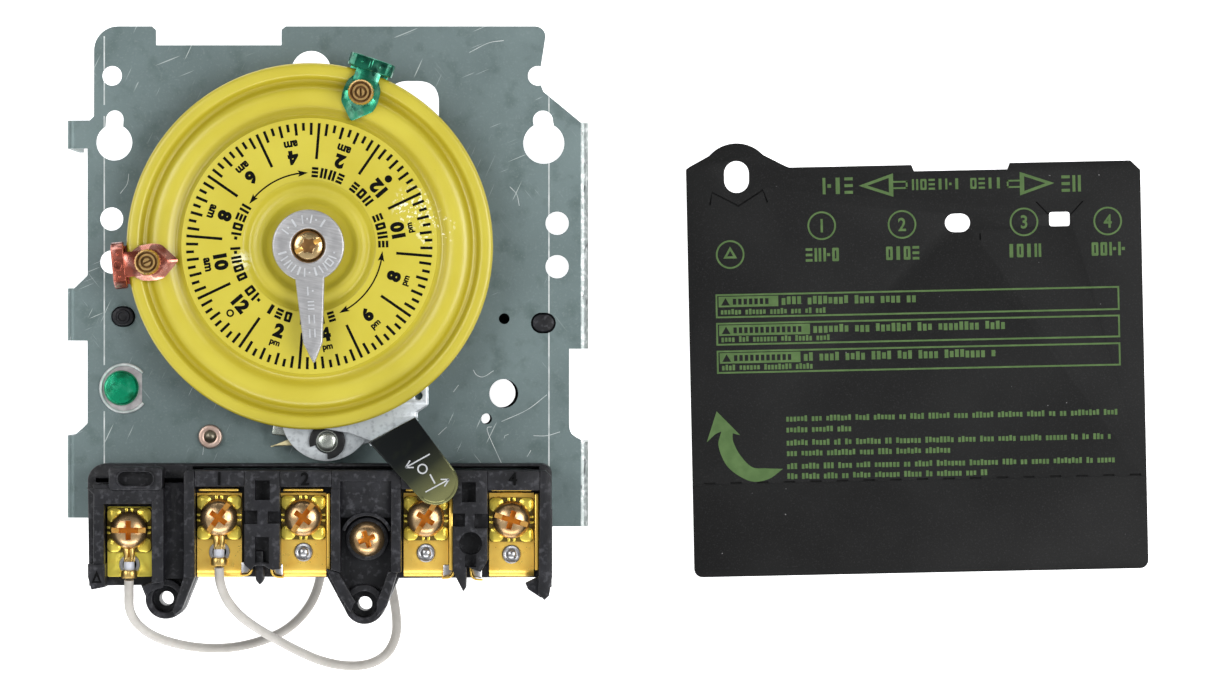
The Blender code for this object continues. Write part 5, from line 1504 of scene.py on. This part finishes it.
def in_loop(point, loop):
    """Whether a point is inside a loop's own box, give or take a little."""
    xs, ys = [x for x, y in loop], [y for x, y in loop]
    return (min(xs) - 0.02 < point.x < max(xs) + 0.02) and (min(ys) - 0.02 < point.y < max(ys) + 0.02)


def ink_box(x0, y0, x1, y1):
    return upright((x0, y0), (x1, y1), *INK)


def greeked(x, x1, middle_y, height, kinds):
    """A row of narrow abstract signs in word-like groups, standing in for a line of text."""
    word = kinds.randrange(2, 8)
    pitch = height * 0.62
    while x + pitch * 0.8 <= x1:
        if word:
            low = middle_y - height * kinds.choice((0.5, 0.5, 0.42))
            high = middle_y + height * kinds.choice((0.5, 0.32, 0.32))
            yield ink_box(x, low, x + pitch * 0.72, high)
            word -= 1
        else:
            word = kinds.randrange(2, 9)
        x += pitch


def sheet_rings():
    kinds = random.Random(7)
    for place, label in TERMINAL_RINGS:
        yield ink(circle(place, RING_R), circle(place, RING_R - LINE))
        yield lettering(label, 3.2, place, 0.0, *INK, 0.9, 0.02)
        spots = [((place[0] + (i - 1.5) * 2.1, -18.9), 0.0) for i in range(4)]
        yield from signs(kinds, spots, (1.6, 3.2), 0.62, *INK)
    yield ink(circle(BARE_RING, RING_R), circle(BARE_RING, RING_R - LINE))
    triangle = [polar(1.9, angle) for angle in (90, 210, 330)]
    yield ink(*[turned_points(loop, 0.0, BARE_RING) for loop in (triangle, scaled(triangle, 0.45))])


def sheet_arrows():
    kinds = random.Random(9)
    for tip, base, tail, y in ((29.0, 37.2, 40.6, -2.7), (75.5, 67.3, 64.2, -3.0)):
        head = [(tip, y), (base, y + 2.8), (base, y - 2.8)]
        yield ink(head, scaled(head, 0.62, ((tip + 2 * base) / 3, y)))
        for level in (-0.75, 0.75):
            yield ink_box(min(base, tail), y + level - 0.2, max(base, tail), y + level + 0.2)
        inner = tail - LINE if tail > base else tail + LINE
        yield ink_box(min(tail, inner), y - 0.9, max(tail, inner), y + 0.9)
    for start, count, y in ((20.2, 3, -2.6), (77.0, 2, -3.2)):
        spots = [((start + 1.2 + i * 2.6, y), 0.0) for i in range(count)]
        yield from signs(kinds, spots, (2.0, 3.9), 0.7, *INK)
    spots = [((42.4 + i * 1.98, -2.7), 0.0) for i in range(11) if i != 6]
    yield from signs(kinds, spots, (1.5, 2.6), 0.5, *INK)


def sheet_frames():
    kinds = random.Random(13)
    x = FRAME_LEFT + 0.7
    for top, bottom, label, first, second in FRAMES:
        yield ink(rectangle(FRAME_LEFT, bottom, FRAME_RIGHT, top),
                  rectangle(FRAME_LEFT + LINE, bottom + LINE, FRAME_RIGHT - LINE, top - LINE))
        low, high = top - 3.1, top - 0.6
        gaps = [rectangle(x + 3.4 + i * 1.28, low + 0.55, x + 4.2 + i * 1.28, high - 0.55)
                for i in range(int((label - 4.4) / 1.28))]
        triangle = [(x + 0.6, low + 0.4), (x + 2.7, low + 0.4), (x + 1.65, high - 0.3)]
        yield ink(rectangle(x, low, x + label, high), triangle, *gaps)
        yield from greeked(x + label + 0.8, first, (low + high) / 2, 2.0, kinds)
        yield from greeked(x + 0.5, second, bottom + 1.45, 1.35, kinds)


def sheet_paragraph():
    kinds = random.Random(17)
    for y, end in PARAGRAPH:
        yield from greeked(PARAGRAPH_LEFT, end, y, 1.4, kinds)
    yield ink(smooth(SWEEP_OUTER, 8) + smooth(SWEEP_INNER, 8)[1:] + SWEEP_HEAD)


# ---------------------------------------------------------------- behind the plate

MOTOR = (12.0, 14.0)
MOTOR_R = 24.0
HOUSING_LOW, HOUSING_HIGH = (-47.0, -61.5, 12.0), (57.0, -11.0, 32.7)
HOUSING_WALL = 2.0
CAN_PROFILE = (
    (0.0, 6.0), (4.0, 6.0), (4.4, 6.5), (9.5, 6.5), (10.0, 6.1), (17.8, 6.1), (18.4, 6.6), (19.6, 6.6),
    (20.2, 6.1), (22.8, 6.1), (23.6, 6.4), (MOTOR_R, 7.2), (MOTOR_R, 12.8), (23.6, 13.2), (23.6, 13.8),
    (MOTOR_R, 14.2), (MOTOR_R, 29.2), (23.6, 29.8), (22.8, 30.0), (22.8, 7.3), (0.0, 7.3),
)


def rear_housing():
    """Moulded shell behind the plate, with ribs across its back and a screw in each corner."""
    (x0, y0, z0), (x1, y1, z1) = HOUSING_LOW, HOUSING_HIGH
    wall = HOUSING_WALL
    hollow = block((x0 + wall, y0 + wall, z0 + wall), (x1 - wall, y1 - wall, z1 + 4.0), 0.4)
    cuts = [hollow, block((x0 - 1.0, -35.5, 24.0), (-41.3, -30.1, z1 + 2.0))]
    cuts += [prism([circle((43.6, -34.1), 3.4)], 0.0, 20.0)]
    cuts += [prism([circle((39.7, -40.0), 1.3, 24)], 0.0, 20.0)]
    parts = [carve(block(HOUSING_LOW, HOUSING_HIGH, 1.4, 3), *cuts)]
    parts += [block((x - 1.0, y0 + 1.0, z0 + 1.0), (x + 1.0, y1 - 1.0, z1 - 2.0)) for x in (-14.0, 22.0)]
    parts += [prism([obround(place, length, 4.2)], 20.0, top, 0.3, 2)
              for place, length, top in (((-43.9, -16.2), 5.0, 35.4), ((53.8, -17.7), 5.2, 33.6))]
    parts.append(lathe([(0.85, 35.2), (1.1, 35.75), (1.5, 35.75), (1.75, 35.2)], (-43.9, -16.2), 40))
    parts += [block((x - 0.6, y0 + 5.0, z0 - 0.7), (x + 0.6, y1 - 5.0, z0 + 0.5), 0.3)
              for x in range(-34, 38, 12)]
    add("rear_housing", parts, "black_moulding")
    corners = [(x, y, 0.0) for y in (y0 + 5, y1 - 5) for x in (x0 + 5, x1 - 5)]
    add("housing_screws", [moved(housing_screw(), corner, 30.0) for corner in corners], "steel")


def housing_screw():
    head = lathe([(0.0, 11.0), (2.0, 11.0), (2.6, 11.4), (2.8, 12.2), (0.0, 12.2)], steps=40)
    return carve(head, *[upright((-x, -y), (x, y), 9.0, 11.6) for x, y in ((1.7, 0.35), (0.35, 1.7))])


def motor():
    """Can with rolled rims and stamped rings, its cover with two ears, and the moulded lead block."""
    x, y = MOTOR
    add("motor_can", lathe(CAN_PROFILE, MOTOR, 120), "steel")
    lead_block = block((-4.0, -13.0, 6.5), (13.0, y - MOTOR_R + 6.0, 11.5), 0.7, 3)
    add("motor_lead_block", lead_block, "black_moulding")
    outline = [circle(MOTOR, MOTOR_R, 120), circle((23.0, 24.5), 2.3), circle((0, 0), 5.0)]
    ears = [prism([obround((x + side * 25.0, y), 11.0, 8.0), circle((x + side * 27.0, y), 1.7, 24)],
                  30.3, 31.7, 0.15) for side in (-1, 1)]
    add("motor_gear_cover", [prism(outline, 30.3, 32.7, 0.4, 3), *ears], "steel")
    head = ((0.0, 28.6), (1.9, 28.6), (2.6, 29.2), (2.6, 30.2), (0.0, 30.2))
    add("motor_screws", [lathe(head, (x + side * 27.0, y), 32) for side in (-1, 1)], "gear_brass")


# ---------------------------------------------------------------- the whole part

REFINISHED = {
    "copper": ("motor_coil",),
    "gear_brass": ("dial_gear", "motor_pinion", "dial_bushing", "contact_arm_1", "contact_arm_2"),
    "steel": ("motor_rotor", "dial_post"),
}


def refinish():
    """Give CAD parts that keep their own shape a finished material."""
    for name, nodes in REFINISHED.items():
        for node in nodes:
            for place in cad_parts[node].material_slots:
                place.material = finish(name)


def build():
    for make in (mounting_plate, rear_housing, motor, dial, pointer, dial_spring):
        make()
    for setting in TRIPPERS:
        tripper(*setting)
    for make in (manual_lever, cam_group, terminal_block):
        make()
    for name, place in TERMINALS.items():
        terminal(name, place)
        clamp(name, place)
    centre_screw()
    clip_ends()
    for name in WIRED:
        ferrule(name, TERMINALS[name])
        lead(name)
    for make in (ground_screw, stud, insulator, refinish):
        make()


camera()
lights()
floor()
build()
